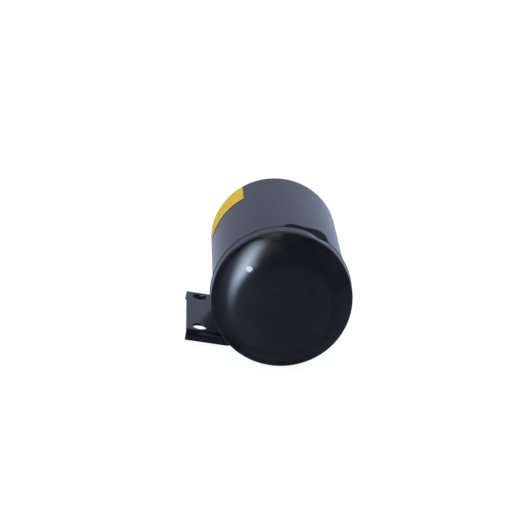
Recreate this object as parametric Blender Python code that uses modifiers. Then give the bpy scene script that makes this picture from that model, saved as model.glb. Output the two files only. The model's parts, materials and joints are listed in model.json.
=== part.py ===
"""Hydraulic oil reservoir: a painted steel can with a lapped domed bottom, lying on its side.

The can is drawn upright, as it works: +Z runs from the domed bottom to the filler, and zero is the
edge where the dome meets the skirt. One parent empty then lays it down on its bracket.
"""

import math

import bmesh
import bpy
from mathutils import Matrix, Vector

# Clearances
SEAT_GAP = 0.0003
THREAD_GAP = 0.0005
MERGE = 0.00001

# Body shell
BODY_RADIUS = 0.0508
BODY_WALL = 0.0020
BODY_FOOT = 0.0010
BODY_TOP = 0.1393
GROOVE_RISE = 0.0045
GROOVE_HALF = 0.0025
GROOVE_DEPTH = 0.0008

# Domed bottom cap
CAP_FIT = 0.0004
CAP_WALL = 0.0015
SKIRT_LENGTH = 0.0125
FLARE_LENGTH = 0.0016
FLARE_RISE = 0.0003
EDGE_RADIUS = 0.0100
EDGE_TURN = math.radians(30)
FLANK_RADIUS = 0.0233
CROWN_LEAN = math.radians(7)

# Dent across the seam: a small one in the skirt's rim, and a creased one with a long tail in the body
SKIRT_DENT_START = math.radians(-80)
SKIRT_DENT_MIDDLE = math.radians(-67.5)
SKIRT_DENT_END = math.radians(-58)
SKIRT_DENT_DEPTH = 0.0018
BODY_DENT_TAIL = math.radians(-112)
BODY_DENT_SHOULDER = math.radians(-95)
BODY_DENT_RISE = math.radians(-82)
BODY_DENT_MIDDLE = math.radians(-58)
BODY_DENT_END = math.radians(-51)
TAIL_LENGTH = 0.0138
DENT_LENGTH = 0.0255
DENT_SLOPE = 0.17
DENT_ROW = 0.0030

# Inset top head and the welds on it
HEAD_DEPTH = 0.0100
HEAD_WALL = 0.0018
HEAD_BEND = 0.0040
TOP_WELD_HALF = 0.0016
TOP_WELD_RISE = 0.0010
FILLET_LEG = 0.0022

# Filler neck, off the can's axis
FILLER_OFFSET = 0.0080
NECK_RADIUS = 0.0190
NECK_WALL = 0.0020
NECK_RISE = 0.0215
NECK_STUB = 0.0020
THREAD_PITCH = 0.0040
THREAD_HEIGHT = 0.0012
THREAD_ROOT_HALF = 0.0008
THREAD_TIP_HALF = 0.0004
THREAD_BITE = 0.0005
NECK_THREAD_TURNS = 2.0
NECK_THREAD_DROP = 0.0030

# Strainer basket in the neck
BASKET_RIM = 0.0010
BASKET_WALL = 0.0009
BASKET_FIT = 0.0006
BASKET_LENGTH = 0.0660
BASKET_SLOT_WIDTH = 0.0040
BASKET_SLOT_ROWS = 3
BASKET_BAR = 0.0035

# Filler cap, its gasket, vent valve and dipstick
GASKET_THICK = 0.0020
GASKET_WIDTH = 0.0030
LID_WALL = 0.0032
LID_TOP = 0.0030
LID_LAP = 0.0025
LID_EDGE = 0.0010
LID_FLUTES = 18
LID_FLUTE_DEPTH = 0.0005
LID_THREAD_TURNS = 1.25
VENT_WELL_RADIUS = 0.0065
VENT_WELL_WALL = 0.0020
VENT_WELL_DEPTH = 0.0090
VENT_HOLE = 0.0015
VENT_CAGE_THICK = 0.0012
VENT_SEAT_HOLE = 0.0025
VENT_DISC_FIT = 0.0010
VENT_DISC_THICK = 0.0012
VENT_STEM_RADIUS = 0.0013
VENT_STEM_LENGTH = 0.0025
VENT_WIRE = 0.0007
VENT_CURLS = 5
DIPSTICK_RING_THICK = 0.0013
DIPSTICK_RING_HOLE = 0.0035
DIPSTICK_CLEAR = 0.0055
DIPSTICK_WIDTH = 0.0040
DIPSTICK_THICK = 0.0015
LEVEL_NOTCH = 0.0008
LOW_MARK = 0.0080
FULL_MARK = 0.0200

# Return and suction pipes, one on each side of the baffle
PORT_AZIMUTH = math.radians(36.5)
PORT_CLEAR = 0.0004
PORT_RISE = 0.0420
PIPE_WALL = 0.0015
HOSE_BEAD = 0.0010
HOSE_BEAD_DROP = 0.0040
HOSE_BEAD_HALF = 0.0020
RETURN_RADIUS = 0.0060
RETURN_FOOT = 0.0400
SUCTION_RADIUS = 0.0080

# Suction strainer with its bypass valve
STRAINER_FOOT = 0.0030
STRAINER_PLATE = 0.0020
STRAINER_RADIUS = 0.0135
STRAINER_LIP = 0.0005
STRAINER_WALL = 0.0010
STRAINER_LENGTH = 0.0250
STRAINER_COLLAR = 0.0080
STRAINER_COLLAR_WALL = 0.0020
STRAINER_SLOT_WIDTH = 0.0045
STRAINER_SLOT_ROWS = 3
STRAINER_BAR = 0.0035
BYPASS_SEAT_HOLE = 0.0060
BYPASS_FIT = 0.0020
BYPASS_THICK = 0.0015
BYPASS_STEM_RADIUS = 0.0020
BYPASS_STEM_LENGTH = 0.0060
BYPASS_WIRE = 0.0010
BYPASS_CURLS = 6

# Baffle between the two pipes
BAFFLE_THICK = 0.0015
BAFFLE_GAP = 0.0046
BAFFLE_CLEAR = 0.0010
BAFFLE_DROP = 0.0213

# Mounting bracket: flat web, two side flanges, and a saddle bent round the body
SHEET = 0.0020
BRACKET_SHIFT = 0.0067
BRACKET_WIDTH = 0.0872
BRACKET_REACH = 0.0636
BRACKET_BEND = 0.0040
FLANGE_DROP = 0.0082
FLANGE_INNER = 0.0311
FLANGE_ROOT = 0.0220
FLANGE_STUB = 0.0010
BOLT_INSET = 0.0106
BOLT_EDGE = 0.0121
BOLT_HOLE_RADIUS = 0.0055
SADDLE_WRAP = math.radians(60)
SADDLE_WELD_RADIUS = 0.0009
SADDLE_WELD_INSET = math.radians(5)

# Label on the body
LABEL_FIT = 0.0002
LABEL_THICK = 0.00025
LABEL_START = math.radians(-129.4)
LABEL_SPAN = math.radians(50)
LABEL_MARGIN = 0.0023
LABEL_HEIGHT = 0.0315
LABEL_SLANT = 0.0020

# Roundness
LARGE_SIDES = 60
SMALL_SIDES = 24
WIRE_POINTS = 8
SKIRT_ROWS = 3
EDGE_STEPS = 2
FLANK_STEPS = 4
CROWN_STEPS = 2
BEND_STEPS = 3
CREST_STEPS = 4
SADDLE_STEPS = 12
LABEL_STEPS = 10
SHARP_ANGLE = math.radians(35)

# Levels and radii that follow from the sizes above
CAP_RADIUS = BODY_RADIUS + CAP_FIT + CAP_WALL
BODY_BORE = BODY_RADIUS - BODY_WALL
GROOVE_LEVEL = SKIRT_LENGTH + GROOVE_RISE
DENT_TOP = SKIRT_LENGTH + DENT_LENGTH + DENT_ROW
HEAD_LEVEL = BODY_TOP - HEAD_DEPTH
HEAD_INNER = BODY_BORE - SEAT_GAP - HEAD_WALL
NECK_FOOT = HEAD_LEVEL - HEAD_WALL - NECK_STUB
NECK_TOP = HEAD_LEVEL + NECK_RISE
NECK_THREAD_FOOT = NECK_TOP - NECK_THREAD_DROP - NECK_THREAD_TURNS * THREAD_PITCH
BASKET_RADIUS = NECK_RADIUS - NECK_WALL - BASKET_FIT
RIM_LEVEL = NECK_TOP + SEAT_GAP
RIM_TOP = RIM_LEVEL + BASKET_RIM
BASKET_FOOT = RIM_TOP - BASKET_LENGTH
GASKET_LEVEL = RIM_TOP + SEAT_GAP
LID_LEVEL = GASKET_LEVEL + GASKET_THICK + SEAT_GAP
LID_BORE = NECK_RADIUS + THREAD_HEIGHT + THREAD_GAP
LID_RADIUS = LID_BORE + LID_WALL
LID_FOOT = NECK_THREAD_FOOT - LID_LAP
VENT_WELL_FOOT = LID_LEVEL - VENT_WELL_DEPTH
VENT_CAGE_LEVEL = VENT_WELL_FOOT - SEAT_GAP - VENT_CAGE_THICK
VENT_DISC_LEVEL = VENT_CAGE_LEVEL + VENT_CAGE_THICK + SEAT_GAP
VENT_DISC_RADIUS = VENT_WELL_RADIUS - VENT_DISC_FIT
VENT_COIL_RADIUS = (VENT_STEM_RADIUS + VENT_DISC_RADIUS) / 2
DIPSTICK_LEVEL = VENT_CAGE_LEVEL - SEAT_GAP - DIPSTICK_RING_THICK
DIPSTICK_FOOT = BASKET_FOOT + BASKET_WALL + DIPSTICK_CLEAR
PORT_TOP = HEAD_LEVEL + PORT_RISE
MESH_FOOT = STRAINER_FOOT + STRAINER_PLATE + SEAT_GAP
STRAINER_HEAD = MESH_FOOT + STRAINER_LENGTH + SEAT_GAP
SUCTION_FOOT = STRAINER_HEAD + STRAINER_PLATE + SEAT_GAP
SUCTION_BORE = SUCTION_RADIUS - PIPE_WALL
MESH_RADIUS = STRAINER_RADIUS - STRAINER_LIP
BYPASS_RADIUS = MESH_RADIUS - STRAINER_WALL - BYPASS_FIT
BYPASS_COIL_RADIUS = (SUCTION_BORE + BYPASS_RADIUS) / 2
BAFFLE_FOOT = GROOVE_LEVEL + GROOVE_HALF + BAFFLE_CLEAR
BAFFLE_TOP = HEAD_LEVEL - BAFFLE_DROP
BAFFLE_INNER = BASKET_RADIUS - FILLER_OFFSET + BAFFLE_GAP
BRACKET_LEVEL = (SKIRT_LENGTH + BODY_TOP) / 2 + BRACKET_SHIFT
BOLT_LINE = BRACKET_REACH - BOLT_INSET
BOLT_SPACING = BRACKET_WIDTH - 2 * BOLT_EDGE
WEB_FACE = BODY_RADIUS + SEAT_GAP
SADDLE_RADIUS = WEB_FACE + SHEET
LABEL_TOP = BODY_TOP - LABEL_MARGIN
LABEL_FOOT = LABEL_TOP - LABEL_HEIGHT

# Each port sits as far out as its weld on the head's flat allows, and the strainer clears the groove
HEAD_FLAT = HEAD_INNER - HEAD_BEND - PORT_CLEAR
GROOVE_BORE = BODY_BORE - GROOVE_DEPTH - PORT_CLEAR
WELD_REACH = SEAT_GAP + FILLET_LEG
RETURN_OFFSET = HEAD_FLAT - RETURN_RADIUS - WELD_REACH
SUCTION_OFFSET = min(HEAD_FLAT - SUCTION_RADIUS - WELD_REACH, GROOVE_BORE - STRAINER_RADIUS)

# The can lies on the saddle and on the inner corners of the flanges
FLANGE_CORNER = math.hypot(FLANGE_INNER, WEB_FACE + FLANGE_DROP)
REST_ROLL = math.acos(SADDLE_RADIUS / FLANGE_CORNER) - math.atan2(FLANGE_INNER, WEB_FACE + FLANGE_DROP)


def clear_scene():
    for obj in list(bpy.data.objects):
        bpy.data.objects.remove(obj, do_unlink=True)


def new_collection(name):
    collection = bpy.data.collections.new(name)
    bpy.context.scene.collection.children.link(collection)
    return collection


def new_material(name, colour, roughness, metallic):
    material = bpy.data.materials.new(name)
    material.use_nodes = True
    shader = material.node_tree.nodes["Principled BSDF"]
    shader.inputs["Base Color"].default_value = (*colour, 1.0)
    shader.inputs["Roughness"].default_value = roughness
    shader.inputs["Metallic"].default_value = metallic
    return material


clear_scene()
PARTS = new_collection("hydraulic_reservoir")
CUTTERS = new_collection("cutters")

BLACK_PAINT = new_material("black_paint", (0.012, 0.013, 0.016), 0.3, 0.0)
BARE_STEEL = new_material("bare_steel", (0.45, 0.45, 0.46), 0.4, 1.0)
BLACK_PLASTIC = new_material("black_plastic", (0.02, 0.02, 0.02), 0.5, 0.0)
RUBBER = new_material("rubber", (0.015, 0.015, 0.015), 0.8, 0.0)
YELLOW_VINYL = new_material("yellow_vinyl", (0.75, 0.50, 0.04), 0.4, 0.0)


def new_empty(name, parent=None, location=(0, 0, 0)):
    empty = bpy.data.objects.new(name, None)
    empty.parent = parent
    empty.location = location
    PARTS.objects.link(empty)
    return empty


def new_part(name, data, material, parent):
    obj = bpy.data.objects.new(name, data)
    obj.parent = parent
    data.materials.append(material)
    PARTS.objects.link(obj)
    return obj


def new_cutter(name, mesh, parent):
    obj = bpy.data.objects.new(name, mesh)
    obj.parent = parent
    obj.hide_render = True
    obj.display_type = "WIRE"
    CUTTERS.objects.link(obj)
    return obj


def arc(centre, radius, start, stop, steps):
    """Points on an arc, as (radius, level) pairs, both ends included."""
    turns = [math.radians(start + (stop - start) * i / steps) for i in range(steps + 1)]
    return [(centre[0] + radius * math.cos(t), centre[1] + radius * math.sin(t)) for t in turns]


def box_mesh(name, low, high):
    mesh = bpy.data.meshes.new(name)
    shape = bmesh.new()
    size = [b - a for a, b in zip(low, high)]
    middle = [(a + b) / 2 for a, b in zip(low, high)]
    matrix = Matrix.Translation(middle) @ Matrix.Diagonal((*size, 1.0))
    bmesh.ops.create_cube(shape, size=1.0, matrix=matrix)
    shape.to_mesh(mesh)
    shape.free()
    return mesh


def cylinder_mesh(name, radius, foot, top, sides=SMALL_SIDES):
    mesh = bpy.data.meshes.new(name)
    shape = bmesh.new()
    matrix = Matrix.Translation((0, 0, (foot + top) / 2))
    bmesh.ops.create_cone(
        shape, cap_ends=True, segments=sides, radius1=radius, radius2=radius, depth=top - foot, matrix=matrix
    )
    shape.to_mesh(mesh)
    shape.free()
    return mesh


def turned(name, profile, material, parent, sides=SMALL_SIDES, closed=True):
    """A turned piece. Its profile runs down the outer side; an open one starts and ends on the axis."""
    edges = [(i, i + 1) for i in range(len(profile) - 1)]
    if closed:
        edges.append((len(profile) - 1, 0))
    mesh = bpy.data.meshes.new(name)
    mesh.from_pydata([(radius, 0.0, level) for radius, level in profile], edges, [])
    obj = new_part(name, mesh, material, parent)
    screw = obj.modifiers.new("Turn", "SCREW")
    screw.steps = sides
    screw.render_steps = sides
    screw.use_merge_vertices = True
    screw.merge_threshold = MERGE
    return obj


def tube_profile(outer, inner, foot, top):
    return [(outer, top), (outer, foot), (inner, foot), (inner, top)]


def combine(obj, other, operation):
    boolean = obj.modifiers.new(other.name, "BOOLEAN")
    boolean.operation = operation
    boolean.object = other


def cut_hole(obj, name, radius, foot, top, parent):
    combine(obj, new_cutter(name, cylinder_mesh(name, radius, foot, top), parent), "DIFFERENCE")


def bake(obj):
    """Replaces a piece's mesh by its evaluated one, with smooth round sides and sharp corners."""
    bpy.context.view_layer.update()
    graph = bpy.context.evaluated_depsgraph_get()
    mesh = bpy.data.meshes.new_from_object(obj.evaluated_get(graph))
    obj.modifiers.clear()
    obj.data = mesh
    mesh.name = obj.name
    mesh.shade_smooth()
    mesh.set_sharp_from_angle(angle=SHARP_ANGLE)


def thread_ridge(name, root, tip, foot, turns, start_turn, parent):
    """A helical ridge of trapezoid section between two radii, right-handed about +Z."""
    steps = round(turns * SMALL_SIDES)
    section = (
        (root, -THREAD_ROOT_HALF),
        (tip, -THREAD_TIP_HALF),
        (tip, THREAD_TIP_HALF),
        (root, THREAD_ROOT_HALF),
    )
    shape = bmesh.new()
    rings = []
    for step in range(steps + 1):
        turn = start_turn + step / SMALL_SIDES
        angle = math.tau * turn
        level = foot + THREAD_PITCH * turn
        ring = [
            shape.verts.new((r * math.cos(angle), r * math.sin(angle), level + rise)) for r, rise in section
        ]
        rings.append(ring)
    for near, far in zip(rings, rings[1:]):
        for i in range(4):
            shape.faces.new((near[i], near[i - 1], far[i - 1], far[i]))
    shape.faces.new(rings[0])
    shape.faces.new(reversed(rings[-1]))
    bmesh.ops.recalc_face_normals(shape, faces=shape.faces)
    mesh = bpy.data.meshes.new(name)
    shape.to_mesh(mesh)
    shape.free()
    return new_cutter(name, mesh, parent)


def wire_curve(name, points, wire, material, parent):
    curve = bpy.data.curves.new(name, "CURVE")
    curve.dimensions = "3D"
    curve.bevel_depth = wire / 2
    curve.bevel_resolution = 1
    curve.use_fill_caps = True
    spline = curve.splines.new("POLY")
    spline.points.add(len(points) - 1)
    for point, place in zip(spline.points, points):
        point.co = (*place, 1.0)
    return new_part(name, curve, material, parent)


def coil_spring(name, radius, foot, top, curls, wire, parent):
    """A coil between two seats. It prints the least gap between neighbouring curls."""
    low = foot + SEAT_GAP + wire / 2
    high = top - SEAT_GAP - wire / 2
    count = curls * WIRE_POINTS
    points = []
    for i in range(count + 1):
        angle = math.tau * i / WIRE_POINTS
        level = low + (high - low) * i / count
        points.append(Vector((radius * math.cos(angle), radius * math.sin(angle), level)))
    pairs = [(i, j) for i in range(count + 1) for j in range(i + WIRE_POINTS // 2 + 1, count + 1)]
    least = min((points[i] - points[j]).length for i, j in pairs) - wire
    print(f"{name}: least gap to itself {least * 1000:.2f} mm")
    return wire_curve(name, points, wire, BARE_STEEL, parent)


def eased(share):
    """A smooth step from 0 to 1."""
    share = min(1.0, max(0.0, share))
    return share * share * (3 - 2 * share)


def step_between(value, start, stop):
    return eased((value - start) / (stop - start))


def body_dent(azimuth, level):
    """How far the body is pushed in: a flat slope down to the skirt's rim from a crease behind it."""
    tail = TAIL_LENGTH * step_between(azimuth, BODY_DENT_TAIL, BODY_DENT_SHOULDER)
    rest = (DENT_LENGTH - TAIL_LENGTH) * step_between(azimuth, BODY_DENT_RISE, BODY_DENT_MIDDLE)
    length = (tail + rest) * step_between(azimuth, BODY_DENT_END, BODY_DENT_MIDDLE)
    return DENT_SLOPE * max(0.0, SKIRT_LENGTH + length - max(level, SKIRT_LENGTH))


def skirt_dent(azimuth, level):
    """How far the skirt is pushed in: most at its rim, and not at all at the dome's edge."""
    start = step_between(azimuth, SKIRT_DENT_START, SKIRT_DENT_MIDDLE)
    end = step_between(azimuth, SKIRT_DENT_END, SKIRT_DENT_MIDDLE)
    return SKIRT_DENT_DEPTH * start * end * (level / SKIRT_LENGTH) ** 2


def push_dent(obj, dent):
    for vertex in obj.data.vertices:
        x, y, z = vertex.co
        radius = math.hypot(x, y)
        if radius < BODY_BORE - GROOVE_DEPTH - MERGE or z < 0:
            continue
        shrink = 1 - dent(math.atan2(y, x), z) / radius
        vertex.co = (x * shrink, y * shrink, z)


def wall_line(radius):
    """Points down one side of the body's wall, with the rolled groove, close together near the dent."""
    count = round((DENT_TOP - BODY_FOOT) / DENT_ROW)
    levels = [BODY_TOP]
    levels += [DENT_TOP + (BODY_FOOT - DENT_TOP) * i / count for i in range(count + 1)]
    points = []
    for level in levels:
        share = min(1.0, abs(level - GROOVE_LEVEL) / GROOVE_HALF)
        points.append((radius - GROOVE_DEPTH * (1 + math.cos(math.pi * share)) / 2, level))
    return points


def body_shell(root):
    profile = wall_line(BODY_RADIUS) + wall_line(BODY_BORE)[::-1]
    shell = turned("body_shell", profile, BLACK_PAINT, root, LARGE_SIDES)
    bake(shell)
    push_dent(shell, body_dent)


def dome_line(wall):
    """The cap's edge, flank and crown from the skirt's foot to the axis, set in from the outside by wall."""
    turn = math.degrees(EDGE_TURN)
    lean = math.degrees(CROWN_LEAN)
    edge = (CAP_RADIUS - EDGE_RADIUS, 0.0)
    step = FLANK_RADIUS - EDGE_RADIUS
    flank = (edge[0] - step * math.cos(EDGE_TURN), step * math.sin(EDGE_TURN))
    reach = flank[0] / math.sin(CROWN_LEAN)
    crown = (0.0, flank[1] + reach * math.cos(CROWN_LEAN))
    line = arc(edge, EDGE_RADIUS - wall, 0, -turn, EDGE_STEPS)
    line += arc(flank, FLANK_RADIUS - wall, -turn, lean - 90, FLANK_STEPS)[1:]
    line += arc(crown, reach + FLANK_RADIUS - wall, lean - 90, -90, CROWN_STEPS)[1:]
    line[-1] = (0.0, line[-1][1])
    return line


def skirt_line(radius):
    """Points down one side of the skirt, from its flared rim to just above the dome's edge."""
    foot = SKIRT_LENGTH - FLARE_LENGTH
    rows = [(radius, foot * (1 - i / SKIRT_ROWS)) for i in range(SKIRT_ROWS)]
    return [(radius + FLARE_RISE, SKIRT_LENGTH)] + rows


def bottom_cap(root):
    outer = skirt_line(CAP_RADIUS) + dome_line(0.0)
    inner = skirt_line(CAP_RADIUS - CAP_WALL) + dome_line(CAP_WALL)
    cap = turned("bottom_cap", inner[::-1] + outer, BLACK_PAINT, root, LARGE_SIDES, closed=False)
    bake(cap)
    push_dent(cap, skirt_dent)


def top_head(root, axes):
    under = HEAD_LEVEL - HEAD_WALL
    bend = (HEAD_INNER - HEAD_BEND, HEAD_LEVEL + HEAD_BEND)
    upper_bend = arc(bend, HEAD_BEND, -90, 0, BEND_STEPS)
    lower_bend = arc(bend, HEAD_BEND + HEAD_WALL, 0, -90, BEND_STEPS)
    profile = [(0.0, HEAD_LEVEL)] + upper_bend
    profile += [(HEAD_INNER, BODY_TOP), (HEAD_INNER + HEAD_WALL, BODY_TOP)]
    profile += lower_bend + [(0.0, under)]
    head = turned("top_head", profile, BLACK_PAINT, root, LARGE_SIDES, closed=False)
    radii = {"filler": NECK_RADIUS, "return": RETURN_RADIUS, "suction": SUCTION_RADIUS}
    for name, radius in radii.items():
        hole = radius + SEAT_GAP
        cut_hole(head, f"{name}_hole", hole, under - HEAD_WALL, HEAD_LEVEL + HEAD_WALL, axes[name])
    bake(head)
    foot = BODY_TOP + SEAT_GAP
    crest = [
        (BODY_BORE + TOP_WELD_HALF * math.cos(t), foot + TOP_WELD_RISE * math.sin(t))
        for t in [math.pi * (1 - i / CREST_STEPS) for i in range(CREST_STEPS + 1)]
    ]
    bake(turned("top_weld", crest, BLACK_PAINT, root, LARGE_SIDES))


def fillet_weld(name, radius, parent):
    near = radius + SEAT_GAP
    foot = HEAD_LEVEL + SEAT_GAP
    profile = [(near, foot + FILLET_LEG), (near + FILLET_LEG, foot), (near, foot)]
    bake(turned(name, profile, BLACK_PAINT, parent))


def filler_neck(axis):
    profile = tube_profile(NECK_RADIUS, NECK_RADIUS - NECK_WALL, NECK_FOOT, NECK_TOP)
    neck = turned("filler_neck", profile, BLACK_PAINT, axis)
    tip = NECK_RADIUS + THREAD_HEIGHT
    ridge = thread_ridge(
        "neck_thread", NECK_RADIUS - THREAD_BITE, tip, NECK_THREAD_FOOT, NECK_THREAD_TURNS, 0.0, axis
    )
    combine(neck, ridge, "UNION")
    bake(neck)
    fillet_weld("neck_weld", NECK_RADIUS, axis)


def cut_slots(obj, radius, width, foot, top, rows, bar):
    """Cuts rows of four crossing slots through a round wall, with a bar left over each row."""
    room = (top - foot) / rows
    for row in range(rows):
        for turn in range(4):
            name = f"{obj.name}_slot_{row}_{turn}"
            low = (-radius - width, -width / 2, foot + room * row + bar / 2)
            high = (radius + width, width / 2, foot + room * (row + 1) - bar / 2)
            cutter = new_cutter(name, box_mesh(name, low, high), obj.parent)
            cutter.rotation_euler.z = math.pi * turn / 4
            combine(obj, cutter, "DIFFERENCE")


def strainer_basket(axis):
    inner = BASKET_RADIUS - BASKET_WALL
    floor = BASKET_FOOT + BASKET_WALL
    profile = [
        (0.0, floor),
        (inner, floor),
        (inner, RIM_TOP),
        (NECK_RADIUS, RIM_TOP),
        (NECK_RADIUS, RIM_LEVEL),
        (BASKET_RADIUS, RIM_LEVEL),
        (BASKET_RADIUS, BASKET_FOOT),
        (0.0, BASKET_FOOT),
    ]
    basket = turned("strainer_basket", profile, BARE_STEEL, axis, closed=False)
    cut_slots(basket, BASKET_RADIUS, BASKET_SLOT_WIDTH, floor, NECK_FOOT, BASKET_SLOT_ROWS, BASKET_BAR)
    bake(basket)


def fluted_lid(axis):
    """The cap's outside: a fluted outline, drawn up with rounded edges."""
    height = LID_LEVEL + LID_TOP - LID_FOOT
    curve = bpy.data.curves.new("lid_outline", "CURVE")
    curve.dimensions = "2D"
    curve.fill_mode = "BOTH"
    curve.extrude = height / 2 - LID_EDGE
    curve.bevel_depth = LID_EDGE
    curve.bevel_resolution = 1
    curve.offset = -LID_EDGE
    count = LID_FLUTES * 4
    spline = curve.splines.new("POLY")
    spline.points.add(count - 1)
    spline.use_cyclic_u = True
    for i, point in enumerate(spline.points):
        angle = math.tau * i / count
        radius = LID_RADIUS + LID_FLUTE_DEPTH * math.cos(LID_FLUTES * angle)
        point.co = (radius * math.cos(angle), radius * math.sin(angle), 0.0, 1.0)
    outline = bpy.data.objects.new("lid_outline", curve)
    CUTTERS.objects.link(outline)
    bpy.context.view_layer.update()
    graph = bpy.context.evaluated_depsgraph_get()
    mesh = bpy.data.meshes.new_from_object(outline.evaluated_get(graph))
    bpy.data.objects.remove(outline)
    shape = bmesh.new()
    shape.from_mesh(mesh)
    bmesh.ops.remove_doubles(shape, verts=shape.verts, dist=MERGE)
    middle = LID_LEVEL + LID_TOP - height / 2
    bmesh.ops.translate(shape, verts=shape.verts, vec=(0, 0, middle))
    shape.to_mesh(mesh)
    shape.free()
    return new_part("filler_cap", mesh, BLACK_PLASTIC, axis)


def filler_cap(axis):
    lid = fluted_lid(axis)
    cut_hole(lid, "lid_bore", LID_BORE, LID_FOOT - LID_TOP, LID_LEVEL, axis)
    well = turned(
        "vent_well",
        tube_profile(
            VENT_WELL_RADIUS + VENT_WELL_WALL, VENT_WELL_RADIUS, VENT_WELL_FOOT, LID_LEVEL + LID_TOP / 2
        ),
        BLACK_PLASTIC,
        axis,
    )
    PARTS.objects.unlink(well)
    CUTTERS.objects.link(well)
    well.hide_render = True
    well.display_type = "WIRE"
    combine(lid, well, "UNION")
    tip = NECK_RADIUS + THREAD_GAP
    foot = NECK_THREAD_FOOT - THREAD_PITCH / 2
    ridge = thread_ridge("lid_thread", LID_BORE + THREAD_BITE, tip, foot, LID_THREAD_TURNS, 0.5, axis)
    combine(lid, ridge, "UNION")
    cut_hole(lid, "lid_vent", VENT_HOLE, VENT_WELL_FOOT, LID_LEVEL + 2 * LID_TOP, axis)
    bake(lid)
    gasket = tube_profile(NECK_RADIUS, NECK_RADIUS - GASKET_WIDTH, GASKET_LEVEL, GASKET_LEVEL + GASKET_THICK)
    bake(turned("cap_gasket", gasket, RUBBER, axis))


def poppet_profile(radius, thick, stem_radius, stem_length, level):
    top = level + thick
    return [
        (0.0, top + stem_length),
        (stem_radius, top + stem_length),
        (stem_radius, top),
        (radius, top),
        (radius, level),
        (0.0, level),
    ]


def vent_valve(axis):
    outer = VENT_WELL_RADIUS + VENT_WELL_WALL
    cage = tube_profile(outer, VENT_SEAT_HOLE, VENT_CAGE_LEVEL, VENT_CAGE_LEVEL + VENT_CAGE_THICK)
    bake(turned("vent_cage", cage, BARE_STEEL, axis))
    disc = poppet_profile(
        VENT_DISC_RADIUS, VENT_DISC_THICK, VENT_STEM_RADIUS, VENT_STEM_LENGTH, VENT_DISC_LEVEL
    )
    bake(turned("vent_disc", disc, BARE_STEEL, axis, closed=False))
    seat = VENT_DISC_LEVEL + VENT_DISC_THICK
    coil_spring("vent_spring", VENT_COIL_RADIUS, seat, LID_LEVEL, VENT_CURLS, VENT_WIRE, axis)


def dipstick(axis):
    outer = VENT_WELL_RADIUS + VENT_WELL_WALL
    top = DIPSTICK_LEVEL + DIPSTICK_RING_THICK
    ring = tube_profile(outer, DIPSTICK_RING_HOLE, DIPSTICK_LEVEL, top)
    stick = turned("dipstick", ring, BARE_STEEL, axis)
    near = (DIPSTICK_RING_HOLE + outer - DIPSTICK_WIDTH) / 2
    low = (near, -DIPSTICK_THICK / 2, DIPSTICK_FOOT)
    high = (near + DIPSTICK_WIDTH, DIPSTICK_THICK / 2, DIPSTICK_LEVEL + DIPSTICK_RING_THICK / 2)
    combine(stick, new_cutter("dipstick_blade", box_mesh("dipstick_blade", low, high), axis), "UNION")
    for name, mark in (("low_notch", LOW_MARK), ("full_notch", FULL_MARK)):
        level = DIPSTICK_FOOT + mark
        low = (near - LEVEL_NOTCH, -DIPSTICK_THICK, level - LEVEL_NOTCH / 2)
        high = (near + LEVEL_NOTCH, DIPSTICK_THICK, level + LEVEL_NOTCH / 2)
        combine(stick, new_cutter(name, box_mesh(name, low, high), axis), "DIFFERENCE")
    bake(stick)


def hose_pipe(name, radius, foot, axis):
    bead = PORT_TOP - HOSE_BEAD_DROP
    profile = [
        (radius, PORT_TOP),
        (radius, bead + HOSE_BEAD_HALF),
        (radius + HOSE_BEAD, bead + HOSE_BEAD_HALF / 3),
        (radius + HOSE_BEAD, bead - HOSE_BEAD_HALF / 3),
        (radius, bead - HOSE_BEAD_HALF),
        (radius, foot),
        (radius - PIPE_WALL, foot),
        (radius - PIPE_WALL, PORT_TOP),
    ]
    return turned(name, profile, BLACK_PAINT, axis)


def return_pipe(axis):
    """The return pipe, with its inner end cut at 45 degrees."""
    pipe = hose_pipe("return_pipe", RETURN_RADIUS, RETURN_FOOT, axis)
    side = 4 * RETURN_RADIUS
    mesh = box_mesh("return_mitre", (-side, -side, -2 * side), (side, side, 0))
    mitre = new_cutter("return_mitre", mesh, axis)
    mitre.location.z = RETURN_FOOT + RETURN_RADIUS
    mitre.rotation_euler.y = math.radians(45)
    combine(pipe, mitre, "DIFFERENCE")
    bake(pipe)
    fillet_weld("return_weld", RETURN_RADIUS, axis)


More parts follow.
